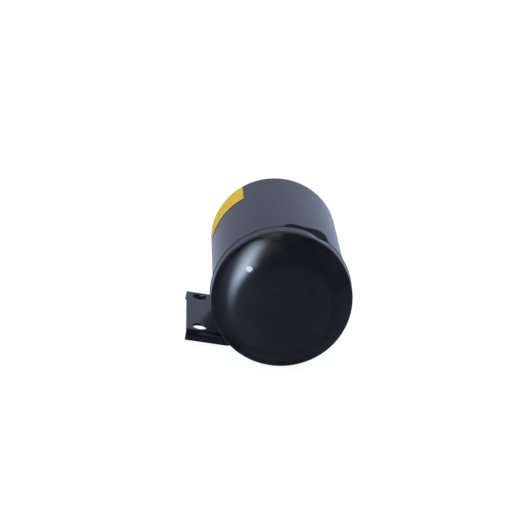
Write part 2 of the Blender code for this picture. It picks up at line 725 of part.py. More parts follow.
def suction_strainer(axis):
    bake(hose_pipe("suction_pipe", SUCTION_RADIUS, SUCTION_FOOT, axis))
    fillet_weld("suction_weld", SUCTION_RADIUS, axis)
    socket = SUCTION_RADIUS + SEAT_GAP
    collar = socket + STRAINER_COLLAR_WALL
    shelf = STRAINER_HEAD + STRAINER_PLATE
    head = [
        (collar, shelf + STRAINER_COLLAR),
        (collar, shelf),
        (STRAINER_RADIUS, shelf),
        (STRAINER_RADIUS, STRAINER_HEAD),
        (SUCTION_BORE, STRAINER_HEAD),
        (SUCTION_BORE, shelf),
        (socket, shelf),
        (socket, shelf + STRAINER_COLLAR),
    ]
    bake(turned("suction_head", head, BARE_STEEL, axis))
    top = MESH_FOOT + STRAINER_LENGTH
    wall = tube_profile(MESH_RADIUS, MESH_RADIUS - STRAINER_WALL, MESH_FOOT, top)
    mesh = turned("suction_mesh", wall, BARE_STEEL, axis)
    cut_slots(mesh, MESH_RADIUS, STRAINER_SLOT_WIDTH, MESH_FOOT, top, STRAINER_SLOT_ROWS, STRAINER_BAR)
    bake(mesh)
    plate_top = STRAINER_FOOT + STRAINER_PLATE
    plate = tube_profile(STRAINER_RADIUS, BYPASS_SEAT_HOLE, STRAINER_FOOT, plate_top)
    bake(turned("suction_foot", plate, BARE_STEEL, axis))
    level = plate_top + SEAT_GAP
    disc = poppet_profile(BYPASS_RADIUS, BYPASS_THICK, BYPASS_STEM_RADIUS, BYPASS_STEM_LENGTH, level)
    bake(turned("bypass_disc", disc, BARE_STEEL, axis, closed=False))
    seat = level + BYPASS_THICK
    coil_spring("bypass_spring", BYPASS_COIL_RADIUS, seat, STRAINER_HEAD, BYPASS_CURLS, BYPASS_WIRE, axis)


def baffle_plate(root):
    half = BAFFLE_THICK / 2
    reach = math.sqrt((BODY_BORE - SEAT_GAP) ** 2 - half**2)
    mesh = box_mesh("baffle_plate", (-half, BAFFLE_INNER, BAFFLE_FOOT), (half, reach, BAFFLE_TOP))
    new_part("baffle_plate", mesh, BARE_STEEL, root)


def bracket_flange(shape, web_edge, side):
    """Adds one bent flange along the web's edge. Side is -1 for the lower edge and 1 for the upper."""
    edge_level = BRACKET_LEVEL + side * (BRACKET_WIDTH / 2 - BRACKET_BEND)
    stations = (
        (-BRACKET_REACH, FLANGE_DROP),
        (-FLANGE_INNER, FLANGE_DROP),
        (-FLANGE_ROOT, BRACKET_BEND + FLANGE_STUB),
    )
    strips = []
    for (x, drop), start in zip(stations, web_edge):
        strip = [start]
        for step in range(1, BEND_STEPS + 1):
            angle = math.pi / 2 * step / BEND_STEPS
            y = WEB_FACE + BRACKET_BEND * (1 - math.cos(angle))
            z = edge_level + side * BRACKET_BEND * math.sin(angle)
            strip.append(shape.verts.new((x, y, z)))
        strip.append(shape.verts.new((x, WEB_FACE + drop, edge_level + side * BRACKET_BEND)))
        strips.append(strip)
    for near, far in zip(strips, strips[1:]):
        for i in range(len(near) - 1):
            shape.faces.new((near[i], near[i + 1], far[i + 1], far[i]))


def mount_bracket(root):
    """One pressed sheet, drawn as its tank-side face and thickened away from the tank."""
    half = BRACKET_WIDTH / 2 - BRACKET_BEND
    line = [(-x, WEB_FACE) for x in (BRACKET_REACH, FLANGE_INNER, FLANGE_ROOT)]
    stop = math.degrees(math.pi / 2 - SADDLE_WRAP)
    line += arc((0.0, 0.0), WEB_FACE, 90, stop, SADDLE_STEPS)
    shape = bmesh.new()
    low = [shape.verts.new((x, y, BRACKET_LEVEL - half)) for x, y in line]
    high = [shape.verts.new((x, y, BRACKET_LEVEL + half)) for x, y in line]
    for i in range(len(line) - 1):
        shape.faces.new((low[i], low[i + 1], high[i + 1], high[i]))
    bracket_flange(shape, low[:3], -1)
    bracket_flange(shape, high[:3], 1)
    bmesh.ops.recalc_face_normals(shape, faces=shape.faces)
    shape.faces.ensure_lookup_table()
    if shape.faces[0].normal.y > 0:
        bmesh.ops.reverse_faces(shape, faces=shape.faces)
    mesh = bpy.data.meshes.new("mount_bracket")
    shape.to_mesh(mesh)
    shape.free()
    bracket = new_part("mount_bracket", mesh, BLACK_PAINT, root)
    solidify = bracket.modifiers.new("Sheet", "SOLIDIFY")
    solidify.thickness = SHEET
    solidify.offset = -1
    solidify.use_even_offset = True
    for i, side in enumerate((-1, 1)):
        name = f"bolt_hole_{i}"
        hole = new_cutter(name, cylinder_mesh(name, BOLT_HOLE_RADIUS, -2 * SHEET, 2 * SHEET), root)
        hole.location = (-BOLT_LINE, WEB_FACE, BRACKET_LEVEL + side * BOLT_SPACING / 2)
        hole.rotation_euler.x = math.pi / 2
        combine(bracket, hole, "DIFFERENCE")
    bake(bracket)


def saddle_welds(root):
    radius = BODY_RADIUS + SEAT_GAP + SADDLE_WELD_RADIUS
    half = BRACKET_WIDTH / 2 - BRACKET_BEND + SEAT_GAP + SADDLE_WELD_RADIUS
    start = 90 - math.degrees(SADDLE_WELD_INSET)
    stop = 90 - math.degrees(SADDLE_WRAP - SADDLE_WELD_INSET)
    for name, side in (("bracket_weld_front", -1), ("bracket_weld_rear", 1)):
        level = BRACKET_LEVEL + side * half
        points = [(x, y, level) for x, y in arc((0.0, 0.0), radius, start, stop, SADDLE_STEPS)]
        wire_curve(name, points, 2 * SADDLE_WELD_RADIUS, BLACK_PAINT, root)


def label(root):
    """A thin label bent round the body, with a slanted lower edge."""
    radius = BODY_RADIUS + LABEL_FIT
    mesh = bpy.data.meshes.new("label")
    shape = bmesh.new()
    columns = []
    for i in range(LABEL_STEPS + 1):
        share = i / LABEL_STEPS
        angle = LABEL_START - LABEL_SPAN * share
        foot = LABEL_FOOT + LABEL_SLANT * share
        place = (radius * math.cos(angle), radius * math.sin(angle))
        columns.append((shape.verts.new((*place, foot)), shape.verts.new((*place, LABEL_TOP))))
    for near, far in zip(columns, columns[1:]):
        shape.faces.new((near[0], near[1], far[1], far[0]))
    shape.to_mesh(mesh)
    shape.free()
    sheet = new_part("label", mesh, YELLOW_VINYL, root)
    solidify = sheet.modifiers.new("Vinyl", "SOLIDIFY")
    solidify.thickness = LABEL_THICK
    solidify.offset = 1
    bake(sheet)


def lay_down(root):
    """Lays the can on its bracket, with the middle of the bolt line on the web's outer face at the origin."""
    root.rotation_euler = (-math.pi / 2, REST_ROLL, 0)
    bolt_middle = Vector((-BOLT_LINE, SADDLE_RADIUS, BRACKET_LEVEL))
    root.location = -(root.rotation_euler.to_matrix() @ bolt_middle)


def main():
    root = new_empty("reservoir")
    across = math.sin(PORT_AZIMUTH)
    along = math.cos(PORT_AZIMUTH)
    axes = {
        "filler": new_empty("filler_axis", root, (0, -FILLER_OFFSET, 0)),
        "return": new_empty("return_axis", root, (RETURN_OFFSET * across, RETURN_OFFSET * along, 0)),
        "suction": new_empty("suction_axis", root, (-SUCTION_OFFSET * across, SUCTION_OFFSET * along, 0)),
    }
    body_shell(root)
    bottom_cap(root)
    top_head(root, axes)
    filler_neck(axes["filler"])
    strainer_basket(axes["filler"])
    filler_cap(axes["filler"])
    vent_valve(axes["filler"])
    dipstick(axes["filler"])
    return_pipe(axes["return"])
    suction_strainer(axes["suction"])
    baffle_plate(root)
    mount_bracket(root)
    saddle_welds(root)
    label(root)
    lay_down(root)


main()
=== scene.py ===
"""Looks of the hydraulic oil reservoir: a black enamelled steel can, lying on its bracket on a white floor.

Pieces are drawn in the can's own frame, upright and in metres: +Z runs from the domed bottom to the filler,
and zero is the edge where the dome meets its skirt. TO_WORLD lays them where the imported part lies.
"""

import json
import math

import bmesh
import bpy
import numpy as np
from mathutils import Euler, Matrix, Vector


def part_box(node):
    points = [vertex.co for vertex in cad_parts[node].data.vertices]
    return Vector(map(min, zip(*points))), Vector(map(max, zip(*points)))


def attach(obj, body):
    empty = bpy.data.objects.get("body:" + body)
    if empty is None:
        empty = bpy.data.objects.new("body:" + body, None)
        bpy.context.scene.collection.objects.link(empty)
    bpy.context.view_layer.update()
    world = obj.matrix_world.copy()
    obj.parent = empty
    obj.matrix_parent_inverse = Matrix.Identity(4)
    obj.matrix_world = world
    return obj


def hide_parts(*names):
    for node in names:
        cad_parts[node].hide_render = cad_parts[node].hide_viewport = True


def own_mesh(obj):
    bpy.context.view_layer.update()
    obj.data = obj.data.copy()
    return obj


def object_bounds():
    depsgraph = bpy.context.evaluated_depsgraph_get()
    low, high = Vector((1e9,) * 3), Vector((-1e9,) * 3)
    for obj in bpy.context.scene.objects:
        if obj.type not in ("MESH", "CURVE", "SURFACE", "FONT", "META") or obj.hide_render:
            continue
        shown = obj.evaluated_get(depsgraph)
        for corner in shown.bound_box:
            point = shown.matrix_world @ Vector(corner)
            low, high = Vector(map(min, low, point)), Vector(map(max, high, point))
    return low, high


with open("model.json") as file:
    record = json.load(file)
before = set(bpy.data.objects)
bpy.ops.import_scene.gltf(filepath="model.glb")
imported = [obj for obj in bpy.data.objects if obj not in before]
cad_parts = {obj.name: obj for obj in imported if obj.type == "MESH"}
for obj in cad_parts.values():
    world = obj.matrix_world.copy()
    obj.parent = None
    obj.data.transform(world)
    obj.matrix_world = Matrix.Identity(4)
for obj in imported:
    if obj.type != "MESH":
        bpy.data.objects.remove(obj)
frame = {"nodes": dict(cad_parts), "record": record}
CAD_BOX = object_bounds()

# Clearance, as in the solids, the rounding of turned edges, and how near two places are the same
SEAT_GAP = 0.0003
TURNED_EDGE = 0.0005
SAME_PLACE = 1e-7

# Body shell and its rolled groove
BODY_RADIUS = 0.0508
BODY_BORE = 0.0488
BODY_FOOT = 0.0010
BODY_TOP = 0.1393
GROOVE_LEVEL = 0.0170
GROOVE_HALF = 0.0025
GROOVE_DEPTH = 0.0008
FINE_TOP = 0.0400
FINE_ROW = 0.0005
PLAIN_ROW = 0.0200

# Domed bottom cap
CAP_RADIUS = 0.0527
CAP_WALL = 0.0015
SKIRT_LENGTH = 0.0125
SKIRT_ROW = 0.0005
FLARE_LENGTH = 0.0010
FLARE_RISE = 0.0006
RIM_EDGE = 0.0002
LEAD_LENGTH = 0.0049
LEAD_TURN = math.radians(6)
EDGE_RADIUS = 0.0100
EDGE_TURN = math.radians(30)
FLANK_RADIUS = 0.0233
CROWN_LEAN = math.radians(7)
RIM_STEPS = 4
EDGE_STEPS = 10
FLANK_STEPS = 24
CROWN_STEPS = 16

# Dent across the seam: a small one in the skirt's rim, and a creased one with a long tail in the body
SKIRT_DENT_START = math.radians(-80)
SKIRT_DENT_MIDDLE = math.radians(-67.5)
SKIRT_DENT_END = math.radians(-58)
SKIRT_DENT_DEPTH = 0.0018
BODY_DENT_TAIL = math.radians(-107)
BODY_DENT_SHOULDER = math.radians(-90)
BODY_DENT_RISE = math.radians(-82)
BODY_DENT_MIDDLE = math.radians(-58)
BODY_DENT_END = math.radians(-51)
TAIL_LENGTH = 0.0138
DENT_LENGTH = 0.0255
DENT_SLOPE = 0.17

# Inset top head
HEAD_LEVEL = 0.1293
HEAD_WALL = 0.0018
HEAD_INNER = 0.0467
HEAD_BEND = 0.0040
HEAD_BEND_STEPS = 10

# Welds: the ring on the head, the fillets round its pipes, and the scale marks, with their lag up a bead
TOP_WELD_HALF = 0.0016
TOP_WELD_RISE = 0.0010
TOP_WELD_STEPS = 12
TOP_WELD_SIDES = 1440
TOP_WELD_LAG = 0.5
FILLET_LEG = 0.0022
FILLET_SWELL = 0.09
FILLET_STEPS = 10
FILLET_LAG = 0.6
RIPPLE_PITCH = 0.0021
RIPPLE_HEIGHT = 0.00016
RIPPLE_LEAN = 0.5
RIPPLE_SIDES = 8

# Filler neck and its thread
NECK_RADIUS = 0.0190
NECK_BORE = 0.0170
NECK_FOOT = 0.1255
NECK_TOP = 0.1508
THREAD_PITCH = 0.0040
THREAD_HEIGHT = 0.0012
THREAD_ROOT_HALF = 0.0008
THREAD_TIP_HALF = 0.0004
THREAD_FADE = 0.08
THREAD_ROW = 0.0002
THREAD_SIDES = 144
NECK_THREAD_FOOT = 0.1398
NECK_THREAD_TURNS = 2.0

# Filler cap: a sunk hub, a raised face, a groove round it and a raised rim, with slopes between them
LID_LEVEL = 0.1547
LID_TOP = 0.1577
LID_FOOT = 0.1373
LID_BORE = 0.0207
LID_RADIUS = 0.0239
LID_HUB = 0.0045
LID_FACE = 0.0165
LID_GROOVE = 0.0195
LID_STEP = 0.0006
LID_SLOPE = 0.0007
LID_HUB_EDGE = 0.0003
LID_EDGE = 0.0004
LID_SHOULDER = 0.0014
LID_FOOT_EDGE = 0.0007
LID_EDGE_STEPS = 5
LID_ROW = 0.0010
LID_FLUTES = 18
LID_FLUTE_DEPTH = 0.0005
LID_FLUTE_FULLNESS = 0.25
LID_FLUTE_SIDES = 16
LID_THREAD_START = 0.5
LID_THREAD_TURNS = 1.25
VENT_HOLE = 0.0015
WELL_RADIUS = 0.0065
WELL_OUTER = 0.0085
WELL_FOOT = 0.1457

# Springs of the two valves
VENT_SEAT = 0.1469
VENT_COIL = 0.0034
VENT_WIRE = 0.0007
VENT_CURLS = 5
BYPASS_SEAT = 0.0068
BYPASS_ROOF = 0.0306
BYPASS_COIL = 0.00825
BYPASS_WIRE = 0.0010
BYPASS_CURLS = 6
CURL_STEPS = 24
CURL_CLOSING = 0.45
WIRE_SIDES = 12

# Hose pipes
PORT_TOP = 0.1713
PIPE_WALL = 0.0015
PIPE_EDGE = 0.0006
PIPE_BORE_EDGE = 0.0004
HOSE_BEAD = 0.0010
HOSE_BEAD_LEVEL = 0.1673
HOSE_BEAD_HALF = 0.0020
HOSE_BEAD_CROWN = 0.0006
HOSE_BEAD_ROOT = 0.0008
RETURN_RADIUS = 0.0060
RETURN_FOOT = 0.0400
SUCTION_RADIUS = 0.0080
SUCTION_FOOT = 0.0329

# Mounting bracket
SHEET = 0.0020
WEB_FACE = 0.0511
BRACKET_LEVEL = 0.0826
BRACKET_HALF = 0.0436
BRACKET_REACH = 0.0636
BRACKET_BEND = 0.0040
BRACKET_BEND_STEPS = 8
FLANGE_DROP = 0.0082
FLANGE_INNER = 0.0311
FLANGE_TIP = 0.0288
FLANGE_TIP_DROP = 0.0078
FLANGE_ROOT = 0.0220
FLANGE_STUB = 0.0010
BOLT_LINE = 0.0530
BOLT_HALF_SPACING = 0.0315
BOLT_HOLE_RADIUS = 0.0055
SADDLE_WRAP = math.radians(60)
SADDLE_STEPS = 30
SADDLE_WELD_RADIUS = 0.0009
SADDLE_WELD_INSET = math.radians(5)
SADDLE_WELD_TAPER = 0.03
SADDLE_WELD_END = 0.25
DEBURR_WIDTH = 0.00035
DEBURR_STEPS = 2
DEBURR_ANGLE = math.radians(50)

# Label
LABEL_RADIUS = 0.0510
LABEL_THICK = 0.00025
LABEL_START = math.radians(-129.4)
LABEL_SPAN = math.radians(50)
LABEL_FOOT = 0.1066
LABEL_SLANT = 0.0042
LABEL_TOP = 0.1370
LABEL_CORNER = 0.0008
LABEL_CORNER_STEPS = 5
LABEL_COLUMN = 0.0010
LABEL_ROWS = 13

# Paint dot on the dome: its middle across and above the can's axis, its half widths, and the waves of its
# outline as (count, height, turn)
DOT_ACROSS = -0.0245
DOT_UP = 0.0301
DOT_HALF_WIDE = 0.0024
DOT_HALF_TALL = 0.0022
DOT_RISE = 0.0002
DOT_SUNK = 0.00005
DOT_SIDES = 48
DOT_RINGS = 8
DOT_WAVES = ((3, 0.06, 0.6), (5, 0.04, 2.1))

# Camera, from the middle of the dome's edge
CAMERA_OFFSET = Vector((-0.059531, -1.183467, 0.461920))
CAMERA_PITCH = math.radians(70.156)
CAMERA_HEADING = math.radians(-1.958)
CAMERA_LENS = 120.6
CAMERA_SENSOR = 36.0

# White floor: how much of it glows for the camera, and how brightly
FLOOR_HALF = 4.0
FLOOR_WHITE = 0.9
FLOOR_ROUGH = 0.9
FLOOR_GLOW_SHARE = 0.85
FLOOR_GLOW_LEVEL = 1.1

# Room that the enamel reflects, and its soft light on rough surfaces. A ramp is two levels and the two places
# between which the level goes from the one to the other: across, along and up are the world's X, Y and Z
ROOM_COLOUR = (0.83, 0.95, 1.32)
SOFT_COLOUR = (0.88, 0.92, 0.97)
BACK_ALONG = (0.13, 0.52, -0.5, 0.5)
LOW_UP = (0.06, 0.0, -0.3, 0.0)
HIGH_UP = (0.03, 0.05, 0.0, 0.36)
LEFT_ACROSS = (-0.09, 0.0, -0.3, 0.3)
FRONT_ALONG = (0.06, 0.0, 0.0, 0.5)

# Darker front of the room, from the horizon up
BAND_UP = (0.0, 0.15, -0.25, -0.05)
BAND_ALONG = (1.0, 0.0, -0.6, 0.0)

# Darker parts of the room, as ramps of what is left: its ceiling, its slanting floor, its sides, its lower
# right corner, and a ring round its back, which the dome's edge reflects. Floor and ring end in front
CEILING_CUT = (1.0, 0.17, 0.42, 0.48)
FLOOR_CUT = (0.15, 1.0, -0.50, -0.38)
FLOOR_CUT_FRONT = (1.0, 0.0, -0.3, 0.2)
FLOOR_CUT_SLANT = -0.5
SIDE_CUT = (1.0, 0.15, 0.38, 0.44)
CORNER_CUT = (0.5, 1.0, -1.1, -0.7)
CORNER_REACH = 0.35
RING_CUT = (0.15, 1.0, 0.87, 0.905)
RING_CUT_FRONT = (1.0, 0.0, 0.3, 0.7)

# Light off the floor at the right. An edge of light, here and below, is where it is gone and where it is full
BOUNCE_LEVEL = 0.10
BOUNCE_LEFT = (0.25, 0.55)
BOUNCE_HEAD = (-0.02, -0.20)

# Softbox in front and to the left: the way to its middle, its lean, and its edges, as sines of the angle from
# its middle. Its ceiling, its back and its halo's back are edges in the world's own axes
SOFTBOX_TURN = math.radians(-42.2)
SOFTBOX_RISE = math.radians(-28.8)
SOFTBOX_LEAN = math.radians(25.4)
SOFTBOX_FACING = (0.0, 0.3)
SOFTBOX_LEFT = (-0.445, 0.090)
SOFTBOX_RIGHT = (0.350, 0.008)
SOFTBOX_FOOT = (-0.844, -0.339)
SOFTBOX_HEAD = (1.45, -0.38)
SOFTBOX_CEILING = (1.03, 0.85)
SOFTBOX_BACK = (2.05, 1.75)
SOFTBOX_BACK_SLOPE = 1.9
SOFTBOX_LEVEL = 14.7
HALO_LEFT = (-0.97, 0.0)
HALO_RIGHT = (0.25, 0.0)
HALO_FOOT = (-1.23, 0.0)
HALO_HEAD = (1.80, 0.0)
HALO_BACK = (0.25, -0.10)
HALO_LEVEL = 1.34
SOFTBOX_COLOUR = (0.83, 1.0, 1.27)

# Warm glow over the can, in front of it and behind it
WARM_COLOUR = (1.04, 1.0, 0.88)
WARM_FRONT_LEVEL = 0.45
WARM_FRONT_RIGHT = (0.14, -0.18)
WARM_FRONT_BACK = (0.0, -0.35)
WARM_FRONT_FOOT = (0.25, 0.80)
WARM_BACK_LEVEL = 0.65
WARM_BACK_RIGHT = (0.12, -0.06)
WARM_BACK_LEFT = (-0.36, -0.18)
WARM_BACK_FRONT = (-0.25, 0.30)
WARM_BACK_FOOT = (0.45, 0.75)

# Colours and gloss
ENAMEL_DARK = (0.0050, 0.0056, 0.0076)
ENAMEL_LIGHT = (0.0085, 0.0094, 0.0122)
ENAMEL_DUST = (0.020, 0.021, 0.024)
ENAMEL_IOR = 1.46
STEEL_DARK = (0.40, 0.40, 0.41)
STEEL_LIGHT = (0.56, 0.56, 0.57)
VINYL_DEEP = (0.75, 0.49, 0.018)
VINYL_FADED = (0.82, 0.55, 0.036)
VINYL_SCUFFED = (0.55, 0.42, 0.16)
VINYL_SPECULAR = 0.2

# Roundness, and how many thicknesses of the sheet a drill is long
LARGE_SIDES = 240
SMALL_SIDES = 96
SHARP_ANGLE = math.radians(38)
DRILL_DEPTHS = 4

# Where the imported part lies: the can's axis, its roll on the bracket, and its zero level
bracket_axis = next(m["axis"] for m in frame["record"]["mounts"] if m["name"] == "bracket_face")
shell_low, shell_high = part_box("body_shell")
ROLL = math.atan2(-bracket_axis[0], -bracket_axis[2])
EDGE_MIDDLE = Vector(
    ((shell_low.x + shell_high.x) / 2, shell_high.y - BODY_TOP, (shell_low.z + shell_high.z) / 2)
)
TO_WORLD = Matrix.Translation(EDGE_MIDDLE) @ Euler((-math.pi / 2, ROLL, 0)).to_matrix().to_4x4()
FLOOR_LEVEL = CAD_BOX[0].z


def axis_of(node):
    """Where a round node's axis stands in the can's frame."""
    low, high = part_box(node)
    place = TO_WORLD.inverted() @ ((low + high) / 2)
    return place.x, place.y


# Materials

def new_material(name):
    material = bpy.data.materials.new(name)
    material.use_nodes = True
    return material, material.node_tree, material.node_tree.nodes["Principled BSDF"]


def add_node(tree, kind, links=None, **settings):
    """Adds a shader node. Links maps its input names to sockets or plain values."""
    made = tree.nodes.new(kind)
    for key, value in settings.items():
        setattr(made, key, value)
    for key, value in (links or {}).items():
        if isinstance(value, bpy.types.NodeSocket):
            tree.links.new(value, made.inputs[key])
        else:
            made.inputs[key].default_value = value
    return made


def place_noise(tree, scale, detail=3.0, stretch=(1.0, 1.0, 1.0)):
    """Noise over the piece's own place, in metres, so that it doesn't slide with the camera."""
    place = add_node(tree, "ShaderNodeTexCoord").outputs["Object"]
    mapped = add_node(tree, "ShaderNodeMapping", {"Vector": place, "Scale": stretch}).outputs["Vector"]
    links = {"Vector": mapped, "Scale": scale, "Detail": detail}
    return add_node(tree, "ShaderNodeTexNoise", links).outputs["Fac"]


def spread(tree, value, low, high, start=0.3, stop=0.7, curve="LINEAR"):
    """Maps a value between start and stop onto the range from low to high."""
    links = {"Value": value, "From Min": start, "From Max": stop, "To Min": low, "To Max": high}
    return add_node(tree, "ShaderNodeMapRange", links, interpolation_type=curve).outputs["Result"]


def mix_colour(tree, share, first, second):
    made = add_node(tree, "ShaderNodeMix", data_type="RGBA")
    sockets = [s for s in made.inputs if s.type == "RGBA"]
    for socket, value in zip(sockets, (first, second)):
        if isinstance(value, bpy.types.NodeSocket):
            tree.links.new(value, socket)
        else:
            socket.default_value = (*value, 1.0)
    tree.links.new(share, made.inputs["Factor"])
    return next(s for s in made.outputs if s.type == "RGBA")


def math_node(tree, operation, *values):
    return add_node(tree, "ShaderNodeMath", dict(enumerate(values)), operation=operation).outputs[0]


def add_bump(tree, shader, height, strength, distance):
    links = {"Height": height, "Strength": strength, "Distance": distance}
    bump = add_node(tree, "ShaderNodeBump", links)
    tree.links.new(bump.outputs["Normal"], shader.inputs["Normal"])


def enamel(name, low_rough=0.15, high_rough=0.18, peel=0.02):
    """Black stoved enamel: faint blotches, uneven gloss and an orange-peel surface."""
    material, tree, shader = new_material(name)
    blotch = spread(tree, place_noise(tree, 35.0, 4.0), 0.0, 1.0)
    colour = mix_colour(tree, blotch, ENAMEL_DARK, ENAMEL_LIGHT)
    dust = spread(tree, place_noise(tree, 1500.0, 2.0), 0.0, 1.0, 0.66, 0.74)
    colour = mix_colour(tree, dust, colour, ENAMEL_DUST)
    tree.links.new(colour, shader.inputs["Base Color"])
    gloss = spread(tree, place_noise(tree, 90.0, 5.0), low_rough, high_rough)
    tree.links.new(gloss, shader.inputs["Roughness"])
    shader.inputs["IOR"].default_value = ENAMEL_IOR
    add_bump(tree, shader, place_noise(tree, 750.0, 2.0), peel, 0.0002)
    return material


def bare_steel(name):
    """Plain steel with fine drawn lines along the can."""
    material, tree, shader = new_material(name)
    lines = place_noise(tree, 260.0, 5.0, (6.0, 0.35, 6.0))
    colour = mix_colour(tree, spread(tree, lines, 0.0, 1.0), STEEL_DARK, STEEL_LIGHT)
    tree.links.new(colour, shader.inputs["Base Color"])
    tree.links.new(spread(tree, lines, 0.28, 0.46), shader.inputs["Roughness"])
    shader.inputs["Metallic"].default_value = 1.0
    add_bump(tree, shader, lines, 0.08, 0.0001)
    return material


def grained(name, dark, light, cloud, gloss, rough, grain, strength, depth=0.0001):
    """A cloudy colour, uneven gloss and a fine grain. Cloud is its noise's scale and detail."""
    material, tree, shader = new_material(name)
    share = spread(tree, place_noise(tree, *cloud), 0.0, 1.0)
    tree.links.new(mix_colour(tree, share, dark, light), shader.inputs["Base Color"])
    tree.links.new(spread(tree, place_noise(tree, gloss), *rough), shader.inputs["Roughness"])
    add_bump(tree, shader, place_noise(tree, grain), strength, depth)
    return material


def label_vinyl(name):
    """Yellow vinyl film, a little faded and scuffed."""
    material, tree, shader = new_material(name)
    fade = spread(tree, place_noise(tree, 55.0, 4.0), 0.0, 1.0)
    colour = mix_colour(tree, fade, VINYL_DEEP, VINYL_FADED)
    scuff = spread(tree, place_noise(tree, 420.0, 5.0, (1.0, 0.25, 1.0)), 0.0, 0.35, 0.60, 0.74)
    colour = mix_colour(tree, scuff, colour, VINYL_SCUFFED)
    tree.links.new(colour, shader.inputs["Base Color"])
    tree.links.new(spread(tree, place_noise(tree, 240.0, 3.0), 0.50, 0.64), shader.inputs["Roughness"])
    shader.inputs["Specular IOR Level"].default_value = VINYL_SPECULAR
    add_bump(tree, shader, place_noise(tree, 300.0, 2.0), 0.05, 0.0001)
    return material


BLACK_ENAMEL = enamel("black_enamel")
WELD_ENAMEL = enamel("weld_enamel", low_rough=0.28, high_rough=0.36, peel=0.06)
BARE_STEEL = bare_steel("bare_steel")
BLACK_PLASTIC = grained(
    "black_plastic",
    dark=(0.014, 0.014, 0.015),
    light=(0.022, 0.022, 0.023),
    cloud=(60.0, 3.0),
    gloss=900.0,
    rough=(0.42, 0.58),
    grain=2600.0,
    strength=0.18,
    depth=0.00015,
)
SEAL_RUBBER = grained(
    "seal_rubber",
    dark=(0.011, 0.011, 0.011),
    light=(0.020, 0.020, 0.019),
    cloud=(400.0, 4.0),
    gloss=700.0,
    rough=(0.68, 0.88),
    grain=1800.0,
    strength=0.15,
)
YELLOW_VINYL = label_vinyl("yellow_vinyl")
WHITE_MARKING = grained(
    "white_marking",
    dark=(0.60, 0.64, 0.68),
    light=(0.74, 0.77, 0.80),
    cloud=(600.0, 3.0),
    gloss=900.0,
    rough=(0.40, 0.60),
    grain=1200.0,
    strength=0.2,
)


# Mesh helpers

def rounded(points, steps=6):
    """A profile with rounded corners, from (radius, level, corner radius) points."""
    line = []
    for i, (radius, level, bend) in enumerate(points):
        here = Vector((radius, level))
        if bend == 0:
            line.append((radius, level))
            continue
        back = (Vector(points[i - 1][:2]) - here).normalized()
        ahead = (Vector(points[(i + 1) % len(points)][:2]) - here).normalized()
        half = back.angle(ahead) / 2
        centre = here + (back + ahead).normalized() * (bend / math.sin(half))
        first = here + back * (bend / math.tan(half)) - centre
        last = here + ahead * (bend / math.tan(half)) - centre
        sweep = first.angle(last)
        for step in range(steps + 1):
            share = step / steps
            spoke = first * math.sin((1 - share) * sweep) + last * math.sin(share * sweep)
            line.append(tuple(centre + spoke / math.sin(sweep)))
    return line


def rows(start, stop, spacing):
    """Levels from start to stop, both included, no further apart than spacing."""
    count = max(1, math.ceil(abs(stop - start) / spacing))
    return [start + (stop - start) * i / count for i in range(count + 1)]


def arc(middle, level, radius, start, stop, steps):
    angles = [math.radians(start + (stop - start) * i / steps) for i in range(steps + 1)]
    return [(middle + radius * math.cos(t), level + radius * math.sin(t)) for t in angles]


def grid_mesh(name, points, wrap_rows, wrap_columns):
    """A mesh of quads over a grid of points, rows first. Points that fall together become one."""
    height, width = points.shape[:2]
    index = np.arange(height * width).reshape(height, width)
    if wrap_rows:
        index = np.concatenate((index, index[:1]), axis=0)
    if wrap_columns:
        index = np.concatenate((index, index[:, :1]), axis=1)
    quads = np.stack((index[:-1, :-1], index[1:, :-1], index[1:, 1:], index[:-1, 1:]), axis=-1)
    mesh = bpy.data.meshes.new(name)
    mesh.from_pydata(points.reshape(-1, 3).tolist(), [], quads.reshape(-1, 4).tolist())
    shape = bmesh.new()
    shape.from_mesh(mesh)
    bmesh.ops.remove_doubles(shape, verts=shape.verts, dist=SAME_PLACE)
    shape.to_mesh(mesh)
    shape.free()
    return mesh


def lathe(name, line, sides=SMALL_SIDES, closed=True, warp=None):
    """A turned mesh. Its profile runs down the outer side; warp may change radius and level by azimuth."""
    angle = np.linspace(-math.pi, math.pi, sides, endpoint=False)[None, :]
    radius = np.repeat(np.array(line)[:, :1], sides, axis=1)
    level = np.repeat(np.array(line)[:, 1:], sides, axis=1)
    if warp:
        radius, level = warp(angle, radius, level)
    points = np.stack((radius * np.cos(angle), radius * np.sin(angle), level), axis=-1)
    return grid_mesh(name, points, closed, True)


def tube_mesh(name, path, radii, sides=16):
    """A round bar along a path, closed at both ends."""
    path = np.array(path)
    ahead = np.gradient(path, axis=0)
    ahead /= np.linalg.norm(ahead, axis=1)[:, None]
    side = np.cross(ahead, (0.0, 0.0, 1.0))
    side /= np.linalg.norm(side, axis=1)[:, None]
    over = np.cross(side, ahead)
    angle = np.linspace(0, math.tau, sides, endpoint=False)
    ring = side[:, None] * np.cos(angle)[None, :, None] + over[:, None] * np.sin(angle)[None, :, None]
    points = path[:, None] + ring * np.array(radii)[:, None, None]
    ends = [np.repeat(path[i][None, None], sides, axis=1) for i in (0, -1)]
    mesh = grid_mesh(name, np.concatenate((ends[0], points, ends[1])), False, True)
    mesh.flip_normals()
    return mesh


def loose_object(name, data):
    obj = bpy.data.objects.new(name, data)
    bpy.context.scene.collection.objects.link(obj)
    return obj


def new_piece(mesh, material, body, replaced, axis=(0.0, 0.0)):
    """Lays a mesh where the part lies, and has it ride on a body in the place of CAD nodes."""
    mesh.transform(TO_WORLD @ Matrix.Translation((*axis, 0.0)))
    mesh.materials.append(material)
    if not mesh.has_custom_normals:
        mesh.shade_smooth()
        mesh.set_sharp_from_angle(angle=SHARP_ANGLE)
    piece = loose_object(mesh.name, mesh)
    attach(piece, body)
    if replaced:
        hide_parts(*replaced)
    return piece


